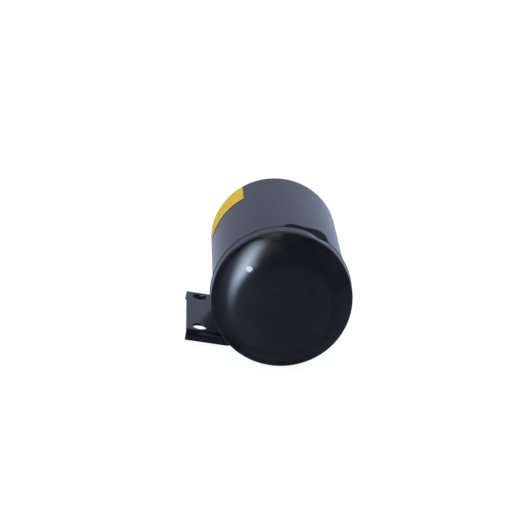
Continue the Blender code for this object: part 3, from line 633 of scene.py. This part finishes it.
def evaluated(obj):
    """The object's mesh with its modifiers applied. The object itself is removed."""
    bpy.context.view_layer.update()
    graph = bpy.context.evaluated_depsgraph_get()
    mesh = bpy.data.meshes.new_from_object(obj.evaluated_get(graph))
    mesh.name = obj.name
    bpy.data.objects.remove(obj)
    return mesh


def cut_holes(name, mesh, drills):
    """Cuts round holes. Each drill is (matrix, radius, length)."""
    obj = loose_object(name, mesh)
    cutters = []
    for i, (matrix, radius, length) in enumerate(drills):
        shape = bmesh.new()
        bmesh.ops.create_cone(
            shape,
            cap_ends=True,
            segments=SMALL_SIDES,
            radius1=radius,
            radius2=radius,
            depth=length,
            matrix=matrix,
        )
        drill = bpy.data.meshes.new(f"{name}_drill_{i}")
        shape.to_mesh(drill)
        shape.free()
        cutters.append(loose_object(drill.name, drill))
        boolean = obj.modifiers.new(drill.name, "BOOLEAN")
        boolean.operation = "DIFFERENCE"
        boolean.object = cutters[-1]
    mesh = evaluated(obj)
    for cutter in cutters:
        bpy.data.objects.remove(cutter)
    return mesh


# Shapes that several pieces share

def eased(share):
    """A smooth step from 0 to 1."""
    share = np.clip(share, 0, 1)
    return share * share * (3 - 2 * share)


def step_between(value, start, stop):
    return eased((value - start) / (stop - start))


def dented_body(angle, radius, level):
    """The body's dent: a flat slope down to the skirt's rim from a crease behind it."""
    tail = TAIL_LENGTH * step_between(angle, BODY_DENT_TAIL, BODY_DENT_SHOULDER)
    rest = (DENT_LENGTH - TAIL_LENGTH) * step_between(angle, BODY_DENT_RISE, BODY_DENT_MIDDLE)
    length = (tail + rest) * step_between(angle, BODY_DENT_END, BODY_DENT_MIDDLE)
    below_crease = np.maximum(0, SKIRT_LENGTH + length - np.maximum(level, SKIRT_LENGTH))
    return radius - DENT_SLOPE * below_crease, level


def dented_skirt(angle, radius, level):
    """The skirt's dent: deepest at its rim, and nothing at the dome's edge."""
    start = step_between(angle, SKIRT_DENT_START, SKIRT_DENT_MIDDLE)
    end = step_between(angle, SKIRT_DENT_END, SKIRT_DENT_MIDDLE)
    return radius - SKIRT_DENT_DEPTH * start * end * (np.maximum(level, 0) / SKIRT_LENGTH) ** 2, level


def dome_centres():
    """Centres of the dome's edge, flank and crown arcs, and the crown's radius."""
    edge = (CAP_RADIUS - EDGE_RADIUS, 0.0)
    step = FLANK_RADIUS - EDGE_RADIUS
    flank = (edge[0] - step * math.cos(EDGE_TURN), step * math.sin(EDGE_TURN))
    reach = flank[0] / math.sin(CROWN_LEAN)
    crown = (0.0, flank[1] + reach * math.cos(CROWN_LEAN))
    return edge, flank, crown, reach + FLANK_RADIUS


def dome_level(radius):
    """The level of the dome's outer face at a distance from the can's axis."""
    edge, flank, crown, crown_radius = dome_centres()
    if radius < crown_radius * math.sin(CROWN_LEAN):
        return crown[1] - math.sqrt(crown_radius**2 - radius**2)
    if radius < flank[0] + FLANK_RADIUS * math.cos(EDGE_TURN):
        return flank[1] - math.sqrt(FLANK_RADIUS**2 - (radius - flank[0]) ** 2)
    return -math.sqrt(EDGE_RADIUS**2 - (radius - edge[0]) ** 2)


def thread_rise(angle, level, foot, start, turns):
    """How far a right-hand thread stands up at this place."""
    turn = angle / math.tau
    nearest = np.round((level - foot) / THREAD_PITCH - turn) + turn
    away = np.abs((level - foot) / THREAD_PITCH - nearest) * THREAD_PITCH
    ridge = np.clip((THREAD_ROOT_HALF - away) / (THREAD_ROOT_HALF - THREAD_TIP_HALF), 0, 1)
    inside = np.minimum(nearest - start, start + turns - nearest) / THREAD_FADE
    return THREAD_HEIGHT * ridge * np.clip(inside, 0, 1)


def ripples(angle, radius, lag):
    """The scale marks along a weld bead of this radius, from 0 to 1. Lag shifts them by a share of a mark."""
    count = round(math.tau * radius / RIPPLE_PITCH)
    phase = (angle * count / math.tau + lag) % 1.0
    return phase * (1 - phase) * 4 * (1 - RIPPLE_LEAN * phase)


# Pieces of the can

def body_skin():
    def wall(radius):
        levels = rows(BODY_TOP, FINE_TOP, PLAIN_ROW) + rows(FINE_TOP, BODY_FOOT, FINE_ROW)[1:]
        line = []
        for level in levels:
            share = min(1.0, abs(level - GROOVE_LEVEL) / GROOVE_HALF)
            line.append((radius - GROOVE_DEPTH * (1 + math.cos(math.pi * share)) / 2, level))
        return line

    mesh = lathe("body_skin", wall(BODY_RADIUS) + wall(BODY_BORE)[::-1], LARGE_SIDES, warp=dented_body)
    new_piece(mesh, BLACK_ENAMEL, "reservoir", ["body_shell"])


def dome_cap():
    edge, flank, crown, crown_radius = dome_centres()
    turn = math.degrees(EDGE_TURN)
    lean = math.degrees(CROWN_LEAN)
    foot = SKIRT_LENGTH - FLARE_LENGTH
    rim_top = SKIRT_LENGTH - RIM_EDGE
    mouth = CAP_RADIUS + FLARE_RISE
    lead_foot = -EDGE_RADIUS * math.sin(LEAD_TURN)
    lead_drop = (LEAD_LENGTH - lead_foot) * math.tan(LEAD_TURN) / 2
    skirt_radius = edge[0] + EDGE_RADIUS * math.cos(LEAD_TURN) + lead_drop

    def half(wall):
        line = []
        for level in rows(rim_top, foot, SKIRT_ROW) + rows(foot, lead_foot, SKIRT_ROW)[1:-1]:
            flare = (mouth - skirt_radius) * max(0.0, level - foot) / FLARE_LENGTH
            lead = lead_drop * (max(0.0, LEAD_LENGTH - level) / (LEAD_LENGTH - lead_foot)) ** 2
            line.append((skirt_radius - wall + flare - lead, level))
        line += arc(*edge, EDGE_RADIUS - wall, -math.degrees(LEAD_TURN), -turn, EDGE_STEPS)
        line += arc(*flank, FLANK_RADIUS - wall, -turn, lean - 90, FLANK_STEPS)[1:]
        line += arc(*crown, crown_radius - wall, lean - 90, -90, CROWN_STEPS)[1:]
        line[-1] = (0.0, line[-1][1])
        return line

    rim = arc(mouth - CAP_WALL + RIM_EDGE, rim_top, RIM_EDGE, 180, 90, RIM_STEPS)[1:]
    rim += arc(mouth - RIM_EDGE, rim_top, RIM_EDGE, 90, 0, RIM_STEPS)[:-1]
    line = half(CAP_WALL)[::-1] + rim + half(0.0)
    mesh = lathe("dome_cap", line, LARGE_SIDES, closed=False, warp=dented_skirt)
    new_piece(mesh, BLACK_ENAMEL, "reservoir", ["bottom_cap"])


def head_plate(ports):
    outer = HEAD_INNER + HEAD_WALL
    under = HEAD_LEVEL - HEAD_WALL
    bend = (HEAD_INNER - HEAD_BEND, HEAD_LEVEL + HEAD_BEND)
    lip = [
        (HEAD_INNER, HEAD_LEVEL, 0),
        (HEAD_INNER, BODY_TOP, TURNED_EDGE),
        (outer, BODY_TOP, TURNED_EDGE),
        (outer, under, 0),
    ]
    line = [(0.0, HEAD_LEVEL)] + arc(*bend, HEAD_BEND, -90, 0, HEAD_BEND_STEPS) + rounded(lip)[1:-1]
    line += arc(*bend, HEAD_BEND + HEAD_WALL, 0, -90, HEAD_BEND_STEPS) + [(0.0, under)]
    mesh = lathe("head_plate", line, LARGE_SIDES, closed=False)
    drills = []
    for axis, radius in ports:
        matrix = Matrix.Translation((*axis, HEAD_LEVEL))
        drills.append((matrix, radius + SEAT_GAP, DRILL_DEPTHS * HEAD_WALL))
    mesh = cut_holes("head_plate", mesh, drills)
    new_piece(mesh, BLACK_ENAMEL, "reservoir", ["top_head"])


def top_bead():
    foot = BODY_TOP + SEAT_GAP
    line = [
        (BODY_BORE + TOP_WELD_HALF * math.cos(t), foot + TOP_WELD_RISE * math.sin(t))
        for t in [math.pi * (1 - i / TOP_WELD_STEPS) for i in range(TOP_WELD_STEPS + 1)]
    ]

    def rippled(angle, radius, level):
        height = (level - foot) / TOP_WELD_RISE
        mark = ripples(angle, BODY_BORE, TOP_WELD_LAG * height)
        return radius, level - RIPPLE_HEIGHT * height * (1 - mark)

    mesh = lathe("top_bead", line, TOP_WELD_SIDES, warp=rippled)
    new_piece(mesh, WELD_ENAMEL, "reservoir", ["top_weld"])


def fillet_bead(name, near, axis, replaced):
    """A fillet weld round a pipe on the head, with a slightly full face."""
    foot = HEAD_LEVEL + SEAT_GAP
    near += SEAT_GAP
    line = [(near, foot)]
    for i in range(FILLET_STEPS + 1):
        share = i / FILLET_STEPS
        swell = FILLET_SWELL * math.sin(math.pi * share)
        line.append((near + FILLET_LEG * (share + swell), foot + FILLET_LEG * (1 - share + swell)))

    def rippled(angle, radius, level):
        out = (radius - near) / FILLET_LEG
        up = (level - foot) / FILLET_LEG
        mark = ripples(angle, near, FILLET_LAG * up)
        push = RIPPLE_HEIGHT * np.clip(4 * out * up, 0, 1) * (mark - 1)
        return radius + push, level + push

    sides = RIPPLE_SIDES * round(math.tau * near / RIPPLE_PITCH)
    mesh = lathe(name, line, sides, warp=rippled)
    new_piece(mesh, WELD_ENAMEL, "reservoir", [replaced], axis)


def neck_tube(axis):
    top = rounded(
        [
            (NECK_BORE, NECK_FOOT, 0),
            (NECK_BORE, NECK_TOP, TURNED_EDGE),
            (NECK_RADIUS, NECK_TOP, TURNED_EDGE),
            (NECK_RADIUS, NECK_FOOT, 0),
        ]
    )
    outer_top = top[-2][1]
    line = top[1:-1] + [(NECK_RADIUS, level) for level in rows(outer_top, HEAD_LEVEL, THREAD_ROW)[1:]]
    line += [(NECK_RADIUS, NECK_FOOT), (NECK_BORE, NECK_FOOT)]

    def threaded(angle, radius, level):
        outside = radius > NECK_RADIUS - SAME_PLACE
        return radius + outside * thread_rise(angle, level, NECK_THREAD_FOOT, 0.0, NECK_THREAD_TURNS), level

    mesh = lathe("neck_tube", line, THREAD_SIDES, warp=threaded)
    new_piece(mesh, BLACK_ENAMEL, "reservoir", ["filler_neck"], axis)


def filler_lid(axis):
    """The screw cap: a fluted grip, a stepped top with the vent hole, a thread and the vent valve's well."""
    low = LID_TOP - LID_STEP
    outside = rounded(
        [
            (VENT_HOLE, LID_LEVEL, 0),
            (VENT_HOLE, low, LID_HUB_EDGE),
            (LID_HUB, low, LID_HUB_EDGE),
            (LID_HUB + LID_SLOPE, LID_TOP, LID_HUB_EDGE),
            (LID_FACE, LID_TOP, LID_EDGE),
            (LID_FACE + LID_SLOPE, low, LID_EDGE),
            (LID_GROOVE, low, LID_EDGE),
            (LID_GROOVE + LID_SLOPE, LID_TOP, LID_EDGE),
            (LID_RADIUS, LID_TOP, LID_SHOULDER),
            (LID_RADIUS, LID_FOOT, LID_FOOT_EDGE),
            (LID_BORE, LID_FOOT, LID_EDGE),
            (LID_BORE, LID_LEVEL, 0),
        ],
        steps=LID_EDGE_STEPS,
    )
    wall_top = next(i for i, (radius, _) in enumerate(outside) if abs(radius - LID_RADIUS) < SAME_PLACE)
    wall_rows = rows(outside[wall_top][1], outside[wall_top + 1][1], LID_ROW)
    wall = [(LID_RADIUS, level) for level in wall_rows[1:-1]]
    bore = [(LID_BORE, level) for level in rows(outside[-2][1], LID_LEVEL, THREAD_ROW)[1:]]
    inside = [
        (WELL_OUTER, LID_LEVEL),
        (WELL_OUTER, WELL_FOOT),
        (WELL_RADIUS, WELL_FOOT),
        (WELL_RADIUS, LID_LEVEL),
    ]
    line = outside[: wall_top + 1] + wall + outside[wall_top + 1 : -1] + bore + inside
    grip_start = LID_BORE + LID_EDGE

    def shaped(angle, radius, level):
        grip = np.clip((radius - grip_start) / (LID_RADIUS - grip_start), 0, 1)
        wave = np.cos(LID_FLUTES * angle)
        flute = LID_FLUTE_DEPTH * (wave - LID_FLUTE_FULLNESS * (1 - wave**2))
        bored = np.abs(radius - LID_BORE) < SAME_PLACE
        foot = NECK_THREAD_FOOT - THREAD_PITCH / 2
        thread = bored * thread_rise(angle, level, foot, LID_THREAD_START, LID_THREAD_TURNS)
        return radius + grip * flute - thread, level

    mesh = lathe("filler_lid", line, LID_FLUTES * LID_FLUTE_SIDES, warp=shaped)
    new_piece(mesh, BLACK_PLASTIC, "cap", ["filler_cap"], axis)


def hose_tube(name, radius, foot, axis, replaced, mitre=0.0):
    """A hose pipe with a rolled bead. Mitre is the slope of its inner end."""
    bead = HOSE_BEAD_LEVEL
    swell = radius + HOSE_BEAD
    inner = radius - PIPE_WALL
    line = rounded(
        [
            (inner, PORT_TOP, PIPE_BORE_EDGE),
            (radius, PORT_TOP, PIPE_EDGE),
            (radius, bead + HOSE_BEAD_HALF, HOSE_BEAD_ROOT),
            (swell, bead + HOSE_BEAD_HALF / 3, HOSE_BEAD_CROWN),
            (swell, bead - HOSE_BEAD_HALF / 3, HOSE_BEAD_CROWN),
            (radius, bead - HOSE_BEAD_HALF, HOSE_BEAD_ROOT),
            (radius, foot, 0),
            (inner, foot, 0),
        ]
    )

    def cut(angle, distance, level):
        end = level <= foot + SEAT_GAP
        return distance, level + end * mitre * (radius - distance * np.cos(angle))

    mesh = lathe(name, line, SMALL_SIDES, warp=cut)
    new_piece(mesh, BLACK_ENAMEL, "reservoir", [replaced], axis)


def coil(name, radius, foot, top, curls, wire, axis, body, replaced):
    """A valve spring with closed ends, on a mesh of its own."""
    low = foot + SEAT_GAP + wire / 2
    high = top - SEAT_GAP - wire / 2
    share = np.linspace(0, 1, curls * CURL_STEPS + 1)
    climb = share - CURL_CLOSING / math.tau * np.sin(math.tau * share)
    angle = math.tau * curls * share
    path = np.stack((radius * np.cos(angle), radius * np.sin(angle), low + (high - low) * climb), axis=-1)
    mesh = tube_mesh(name, path, np.full(len(path), wire / 2), WIRE_SIDES)
    piece = new_piece(mesh, BARE_STEEL, body, [replaced], axis)
    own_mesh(piece)


# Bracket, its welds, the label and the paint dot

def bracket_sheet():
    """One pressed sheet, drawn as its tank-side face, thickened away from the tank, drilled and deburred."""
    half = BRACKET_HALF - BRACKET_BEND
    flat = [(-x, WEB_FACE) for x in (BRACKET_REACH, FLANGE_INNER, FLANGE_TIP, FLANGE_ROOT)]
    line = flat + arc(0.0, 0.0, WEB_FACE, 90, 90 - math.degrees(SADDLE_WRAP), SADDLE_STEPS)
    drops = [FLANGE_DROP, FLANGE_DROP, FLANGE_TIP_DROP, BRACKET_BEND + FLANGE_STUB]
    shape = bmesh.new()
    edges = [[shape.verts.new((x, y, BRACKET_LEVEL + side * half)) for x, y in line] for side in (-1, 1)]
    for i in range(len(line) - 1):
        shape.faces.new((edges[0][i], edges[0][i + 1], edges[1][i + 1], edges[1][i]))
    for side, edge in zip((-1, 1), edges):
        strips = []
        for (x, _), start, drop in zip(flat, edge, drops):
            middle = (BRACKET_LEVEL + side * half, WEB_FACE + BRACKET_BEND)
            bend = arc(*middle, BRACKET_BEND, -90, -90 + side * 90, BRACKET_BEND_STEPS)
            bend.append((bend[-1][0], WEB_FACE + drop))
            strips.append([start] + [shape.verts.new((x, y, z)) for z, y in bend[1:]])
        for near, far in zip(strips, strips[1:]):
            for i in range(len(near) - 1):
                shape.faces.new((near[i], near[i + 1], far[i + 1], far[i]))
    bmesh.ops.recalc_face_normals(shape, faces=shape.faces)
    shape.faces.ensure_lookup_table()
    if shape.faces[0].normal.y > 0:
        bmesh.ops.reverse_faces(shape, faces=shape.faces)
    mesh = bpy.data.meshes.new("bracket_sheet")
    shape.to_mesh(mesh)
    shape.free()
    sheet = loose_object("bracket_sheet", mesh)
    solidify = sheet.modifiers.new("Sheet", "SOLIDIFY")
    solidify.thickness = SHEET
    solidify.offset = -1
    solidify.use_even_offset = True
    drills = []
    for side in (-1, 1):
        place = Matrix.Translation((-BOLT_LINE, WEB_FACE, BRACKET_LEVEL + side * BOLT_HALF_SPACING))
        drills.append((place @ Matrix.Rotation(math.pi / 2, 4, "X"), BOLT_HOLE_RADIUS, DRILL_DEPTHS * SHEET))
    sheet = loose_object("bracket_sheet", cut_holes("bracket_sheet", evaluated(sheet), drills))
    bevel = sheet.modifiers.new("Deburr", "BEVEL")
    bevel.width = DEBURR_WIDTH
    bevel.segments = DEBURR_STEPS
    bevel.limit_method = "ANGLE"
    bevel.angle_limit = DEBURR_ANGLE
    sheet.data.shade_smooth()
    sheet.modifiers.new("Normals", "WEIGHTED_NORMAL")
    new_piece(evaluated(sheet), BLACK_ENAMEL, "reservoir", ["mount_bracket"])


def saddle_beads():
    radius = WEB_FACE + SADDLE_WELD_RADIUS
    half = BRACKET_HALF - BRACKET_BEND + SEAT_GAP + SADDLE_WELD_RADIUS
    start = math.pi / 2 - SADDLE_WELD_INSET
    stop = math.pi / 2 - SADDLE_WRAP + SADDLE_WELD_INSET
    steps = RIPPLE_SIDES * round(radius * (start - stop) / RIPPLE_PITCH)
    share = np.linspace(0, 1, steps + 1)
    angle = start + (stop - start) * share
    mark = ripples(angle, radius, 0.0)
    taper = np.sqrt(np.clip(np.minimum(share, 1 - share) / SADDLE_WELD_TAPER, SADDLE_WELD_END, 1))
    radii = (SADDLE_WELD_RADIUS - RIPPLE_HEIGHT * (1 - mark)) * taper
    for name, side in (("front", -1), ("rear", 1)):
        level = np.full(steps + 1, BRACKET_LEVEL + side * half)
        path = np.stack((radius * np.cos(angle), radius * np.sin(angle), level), axis=-1)
        mesh = tube_mesh(f"saddle_bead_{name}", path, radii)
        new_piece(mesh, WELD_ENAMEL, "reservoir", [f"bracket_weld_{name}"])


def label_film():
    """A thin film bent round the body, with a slanted lower edge and slightly rounded corners."""
    arc_length = LABEL_SPAN * LABEL_RADIUS
    inner = rows(LABEL_CORNER, arc_length - LABEL_CORNER, LABEL_COLUMN)
    turns = [math.pi / 2 * i / LABEL_CORNER_STEPS for i in range(LABEL_CORNER_STEPS)]
    corner = [LABEL_CORNER * (1 - math.cos(turn)) for turn in turns]
    places = corner + inner + [arc_length - c for c in corner[::-1]]
    shares = np.linspace(0, 1, LABEL_ROWS)
    columns = []
    for place in places:
        near = max(0.0, LABEL_CORNER - min(place, arc_length - place))
        inset = LABEL_CORNER - math.sqrt(LABEL_CORNER**2 - near**2)
        angle = LABEL_START - place / LABEL_RADIUS
        foot = LABEL_FOOT + LABEL_SLANT * place / arc_length + inset
        level = foot + (LABEL_TOP - inset - foot) * shares
        x = np.full(LABEL_ROWS, LABEL_RADIUS * math.cos(angle))
        y = np.full(LABEL_ROWS, LABEL_RADIUS * math.sin(angle))
        columns.append(np.stack((x, y, level), axis=-1))
    film = loose_object("label_film", grid_mesh("label_film", np.array(columns), False, False))
    solidify = film.modifiers.new("Film", "SOLIDIFY")
    solidify.thickness = LABEL_THICK
    solidify.offset = -1
    new_piece(evaluated(film), YELLOW_VINYL, "reservoir", ["label"])


def paint_dot():
    """A dab of marking paint on the dome: a low drop with an uneven outline."""
    grid = []
    for ring in range(DOT_RINGS + 1):
        share = ring / DOT_RINGS
        height = DOT_RISE * (1 - share**3) if ring < DOT_RINGS else -DOT_SUNK
        row = []
        for i in range(DOT_SIDES):
            angle = math.tau * i / DOT_SIDES
            edge = 1 + sum(rise * math.sin(count * angle + turn) for count, rise, turn in DOT_WAVES)
            across = DOT_ACROSS + share * edge * DOT_HALF_WIDE * math.cos(angle)
            up = DOT_UP + share * edge * DOT_HALF_TALL * math.sin(angle)
            x = across * math.cos(ROLL) - up * math.sin(ROLL)
            y = -across * math.sin(ROLL) - up * math.cos(ROLL)
            row.append((x, y, dome_level(math.hypot(x, y)) - height))
        grid.append(row)
    base = [(x, y, z + DOT_RISE) for x, y, z in grid[-1]]
    middle = np.mean(np.array(base), axis=0)
    points = np.array(grid + [base, [tuple(middle)] * DOT_SIDES])
    mesh = grid_mesh("paint_dot", points, False, True)
    new_piece(mesh, WHITE_MARKING, "reservoir", [])


def finish_solids():
    """Gives the CAD nodes that still show the finish of their kind."""
    finishes = {
        "bare_steel": BARE_STEEL,
        "rubber": SEAL_RUBBER,
        "black_paint": BLACK_ENAMEL,
        "black_plastic": BLACK_PLASTIC,
    }
    slots = {part["node"]: part["material_slot"] for part in frame["record"]["subparts"]}
    for name, node in frame["nodes"].items():
        if not node.hide_render:
            node.data.materials.clear()
            node.data.materials.append(finishes[slots[name]])


# Stage

def white_floor():
    """A white floor that shows white to the camera, with a faint shadow."""
    material, tree, shader = new_material("white_floor")
    shader.inputs["Base Color"].default_value = (FLOOR_WHITE, FLOOR_WHITE, FLOOR_WHITE, 1.0)
    shader.inputs["Roughness"].default_value = FLOOR_ROUGH
    shader.inputs["Specular IOR Level"].default_value = 0.0
    ray = add_node(tree, "ShaderNodeLightPath")
    share = math_node(tree, "MULTIPLY", ray.outputs["Is Camera Ray"], FLOOR_GLOW_SHARE)
    white = add_node(tree, "ShaderNodeEmission", {"Color": (1, 1, 1, 1), "Strength": FLOOR_GLOW_LEVEL})
    mix = add_node(tree, "ShaderNodeMixShader", {"Fac": share})
    tree.links.new(shader.outputs[0], mix.inputs[1])
    tree.links.new(white.outputs[0], mix.inputs[2])
    tree.links.new(mix.outputs[0], tree.nodes["Material Output"].inputs["Surface"])
    signs = [(-1, -1), (1, -1), (1, 1), (-1, 1)]
    corners = [(x * FLOOR_HALF, y * FLOOR_HALF, FLOOR_LEVEL) for x, y in signs]
    mesh = bpy.data.meshes.new("floor")
    mesh.from_pydata(corners, [], [(0, 1, 2, 3)])
    mesh.materials.append(material)
    floor = loose_object("floor", mesh)
    floor.visible_glossy = False


def patch(tree, level, edges):
    """Light of this level that fades out softly past each edge. An edge is (value, (dark, full))."""
    for value, fade in edges:
        share = spread(tree, value, 0.0, 1.0, *fade, curve="SMOOTHSTEP")
        level = math_node(tree, "MULTIPLY", level, share)
    return level


def softbox_glow(tree, way, along, high):
    """A tall leaning softbox with soft edges and a faint wide halo, in front and to the left."""
    middle = Euler((SOFTBOX_RISE, 0, SOFTBOX_TURN)).to_matrix() @ Vector((0, -1, 0))
    facing = middle.to_track_quat("Z", "Y").to_matrix() @ Matrix.Rotation(SOFTBOX_LEAN, 3, "Z")
    across, up, ahead = (
        add_node(tree, "ShaderNodeVectorMath", {0: way, 1: axis}, operation="DOT_PRODUCT").outputs["Value"]
        for axis in facing.col
    )
    steep = math_node(tree, "MULTIPLY_ADD", high, SOFTBOX_BACK_SLOPE, along)
    box_edges = [
        (ahead, SOFTBOX_FACING),
        (across, SOFTBOX_LEFT),
        (across, SOFTBOX_RIGHT),
        (up, SOFTBOX_FOOT),
        (up, SOFTBOX_HEAD),
        (high, SOFTBOX_CEILING),
        (steep, SOFTBOX_BACK),
    ]
    halo_edges = [
        (ahead, SOFTBOX_FACING),
        (across, HALO_LEFT),
        (across, HALO_RIGHT),
        (up, HALO_FOOT),
        (up, HALO_HEAD),
        (along, HALO_BACK),
    ]
    return math_node(
        tree, "ADD", patch(tree, SOFTBOX_LEVEL, box_edges), patch(tree, HALO_LEVEL, halo_edges)
    )


def warm_glow(tree, across, along, up):
    """A faint warm band over the can, weaker in front."""
    front_edges = [(across, WARM_FRONT_RIGHT), (along, WARM_FRONT_BACK), (up, WARM_FRONT_FOOT)]
    back_edges = [
        (across, WARM_BACK_RIGHT),
        (across, WARM_BACK_LEFT),
        (along, WARM_BACK_FRONT),
        (up, WARM_BACK_FOOT),
    ]
    front = patch(tree, WARM_FRONT_LEVEL, front_edges)
    return math_node(tree, "ADD", front, patch(tree, WARM_BACK_LEVEL, back_edges))


def room_cut(tree, across, along, up):
    """The share of the room's light that its darker parts leave."""
    slant = math_node(tree, "MULTIPLY_ADD", across, FLOOR_CUT_SLANT, up)
    floor = math_node(
        tree, "MAXIMUM", spread(tree, slant, *FLOOR_CUT), spread(tree, along, *FLOOR_CUT_FRONT)
    )
    side = spread(tree, math_node(tree, "ABSOLUTE", across), *SIDE_CUT)
    reach = math_node(tree, "SUBTRACT", up, math_node(tree, "MINIMUM", across, CORNER_REACH))
    corner = spread(tree, reach, *CORNER_CUT)
    ring = math_node(
        tree, "MAXIMUM", spread(tree, along, *RING_CUT), spread(tree, along, *RING_CUT_FRONT)
    )
    share = spread(tree, up, *CEILING_CUT)
    for cut in (floor, side, corner):
        share = math_node(tree, "MULTIPLY", share, cut)
    return math_node(tree, "MINIMUM", share, ring)


def room_level(tree, across, along, up):
    """How bright the room is: pale behind the can, dark above it and in front."""
    level = spread(tree, along, *BACK_ALONG)
    for value, ramp in ((up, LOW_UP), (up, HIGH_UP), (across, LEFT_ACROSS)):
        level = math_node(tree, "ADD", level, spread(tree, value, *ramp))
    band = math_node(tree, "MULTIPLY", spread(tree, up, *BAND_UP), spread(tree, along, *BAND_ALONG))
    level = math_node(tree, "SUBTRACT", level, band)
    level = math_node(tree, "MULTIPLY", level, room_cut(tree, across, along, up))
    bounce = patch(tree, BOUNCE_LEVEL, [(across, BOUNCE_LEFT), (up, BOUNCE_HEAD)])
    for glow in (bounce, spread(tree, along, *FRONT_ALONG)):
        level = math_node(tree, "ADD", level, glow)
    return level


def studio_world():
    """White to the camera and soft on rough surfaces. Reflections see the room and its lights."""
    world = bpy.data.worlds.new("studio")
    bpy.context.scene.world = world
    world.use_nodes = True
    tree = world.node_tree
    tree.nodes.clear()
    ray = add_node(tree, "ShaderNodeLightPath")
    way = add_node(tree, "ShaderNodeTexCoord").outputs["Generated"]
    parts = add_node(tree, "ShaderNodeSeparateXYZ", {"Vector": way})
    across, along, up = (parts.outputs[axis] for axis in "XYZ")
    room = mix_colour(tree, room_level(tree, across, along, up), (0.0, 0.0, 0.0), ROOM_COLOUR)
    soft = mix_colour(tree, ray.outputs["Is Glossy Ray"], SOFT_COLOUR, room)
    seen = mix_colour(tree, ray.outputs["Is Camera Ray"], soft, (1.0, 1.0, 1.0))
    surface = add_node(tree, "ShaderNodeBackground", {"Color": seen, "Strength": 1.0}).outputs[0]
    softbox = softbox_glow(tree, way, along, up)
    warm = warm_glow(tree, across, along, up)
    for colour, glow in ((SOFTBOX_COLOUR, softbox), (WARM_COLOUR, warm)):
        strength = math_node(tree, "MULTIPLY", glow, ray.outputs["Is Glossy Ray"])
        light = add_node(tree, "ShaderNodeBackground", {"Color": (*colour, 1.0), "Strength": strength})
        surface = add_node(tree, "ShaderNodeAddShader", {0: surface, 1: light.outputs[0]}).outputs[0]
    output = add_node(tree, "ShaderNodeOutputWorld")
    tree.links.new(surface, output.inputs["Surface"])


def photo_camera():
    data = bpy.data.cameras.new("camera")
    data.lens = CAMERA_LENS
    data.sensor_width = CAMERA_SENSOR
    camera = loose_object("camera", data)
    camera.location = EDGE_MIDDLE + CAMERA_OFFSET
    camera.rotation_euler = (CAMERA_PITCH, 0, CAMERA_HEADING)
    bpy.context.scene.camera = camera
    bpy.context.scene.view_settings.view_transform = "Standard"


filler = axis_of("filler_neck")
return_port = axis_of("return_weld")
suction_port = axis_of("suction_weld")

photo_camera()
body_skin()
dome_cap()
head_plate([(filler, NECK_RADIUS), (return_port, RETURN_RADIUS), (suction_port, SUCTION_RADIUS)])
top_bead()
neck_tube(filler)
fillet_bead("neck_bead", NECK_RADIUS, filler, "neck_weld")
filler_lid(filler)
hose_tube("return_tube", RETURN_RADIUS, RETURN_FOOT, return_port, "return_pipe", mitre=1.0)
fillet_bead("return_bead", RETURN_RADIUS, return_port, "return_weld")
hose_tube("suction_tube", SUCTION_RADIUS, SUCTION_FOOT, suction_port, "suction_pipe")
fillet_bead("suction_bead", SUCTION_RADIUS, suction_port, "suction_weld")
coil(
    "vent_coil", VENT_COIL, VENT_SEAT, LID_LEVEL, VENT_CURLS, VENT_WIRE, filler,
    body="cap", replaced="vent_spring",
)
coil(
    "bypass_coil", BYPASS_COIL, BYPASS_SEAT, BYPASS_ROOF, BYPASS_CURLS, BYPASS_WIRE, suction_port,
    body="reservoir", replaced="bypass_spring",
)
bracket_sheet()
saddle_beads()
label_film()
paint_dot()
finish_solids()
white_floor()
studio_world()
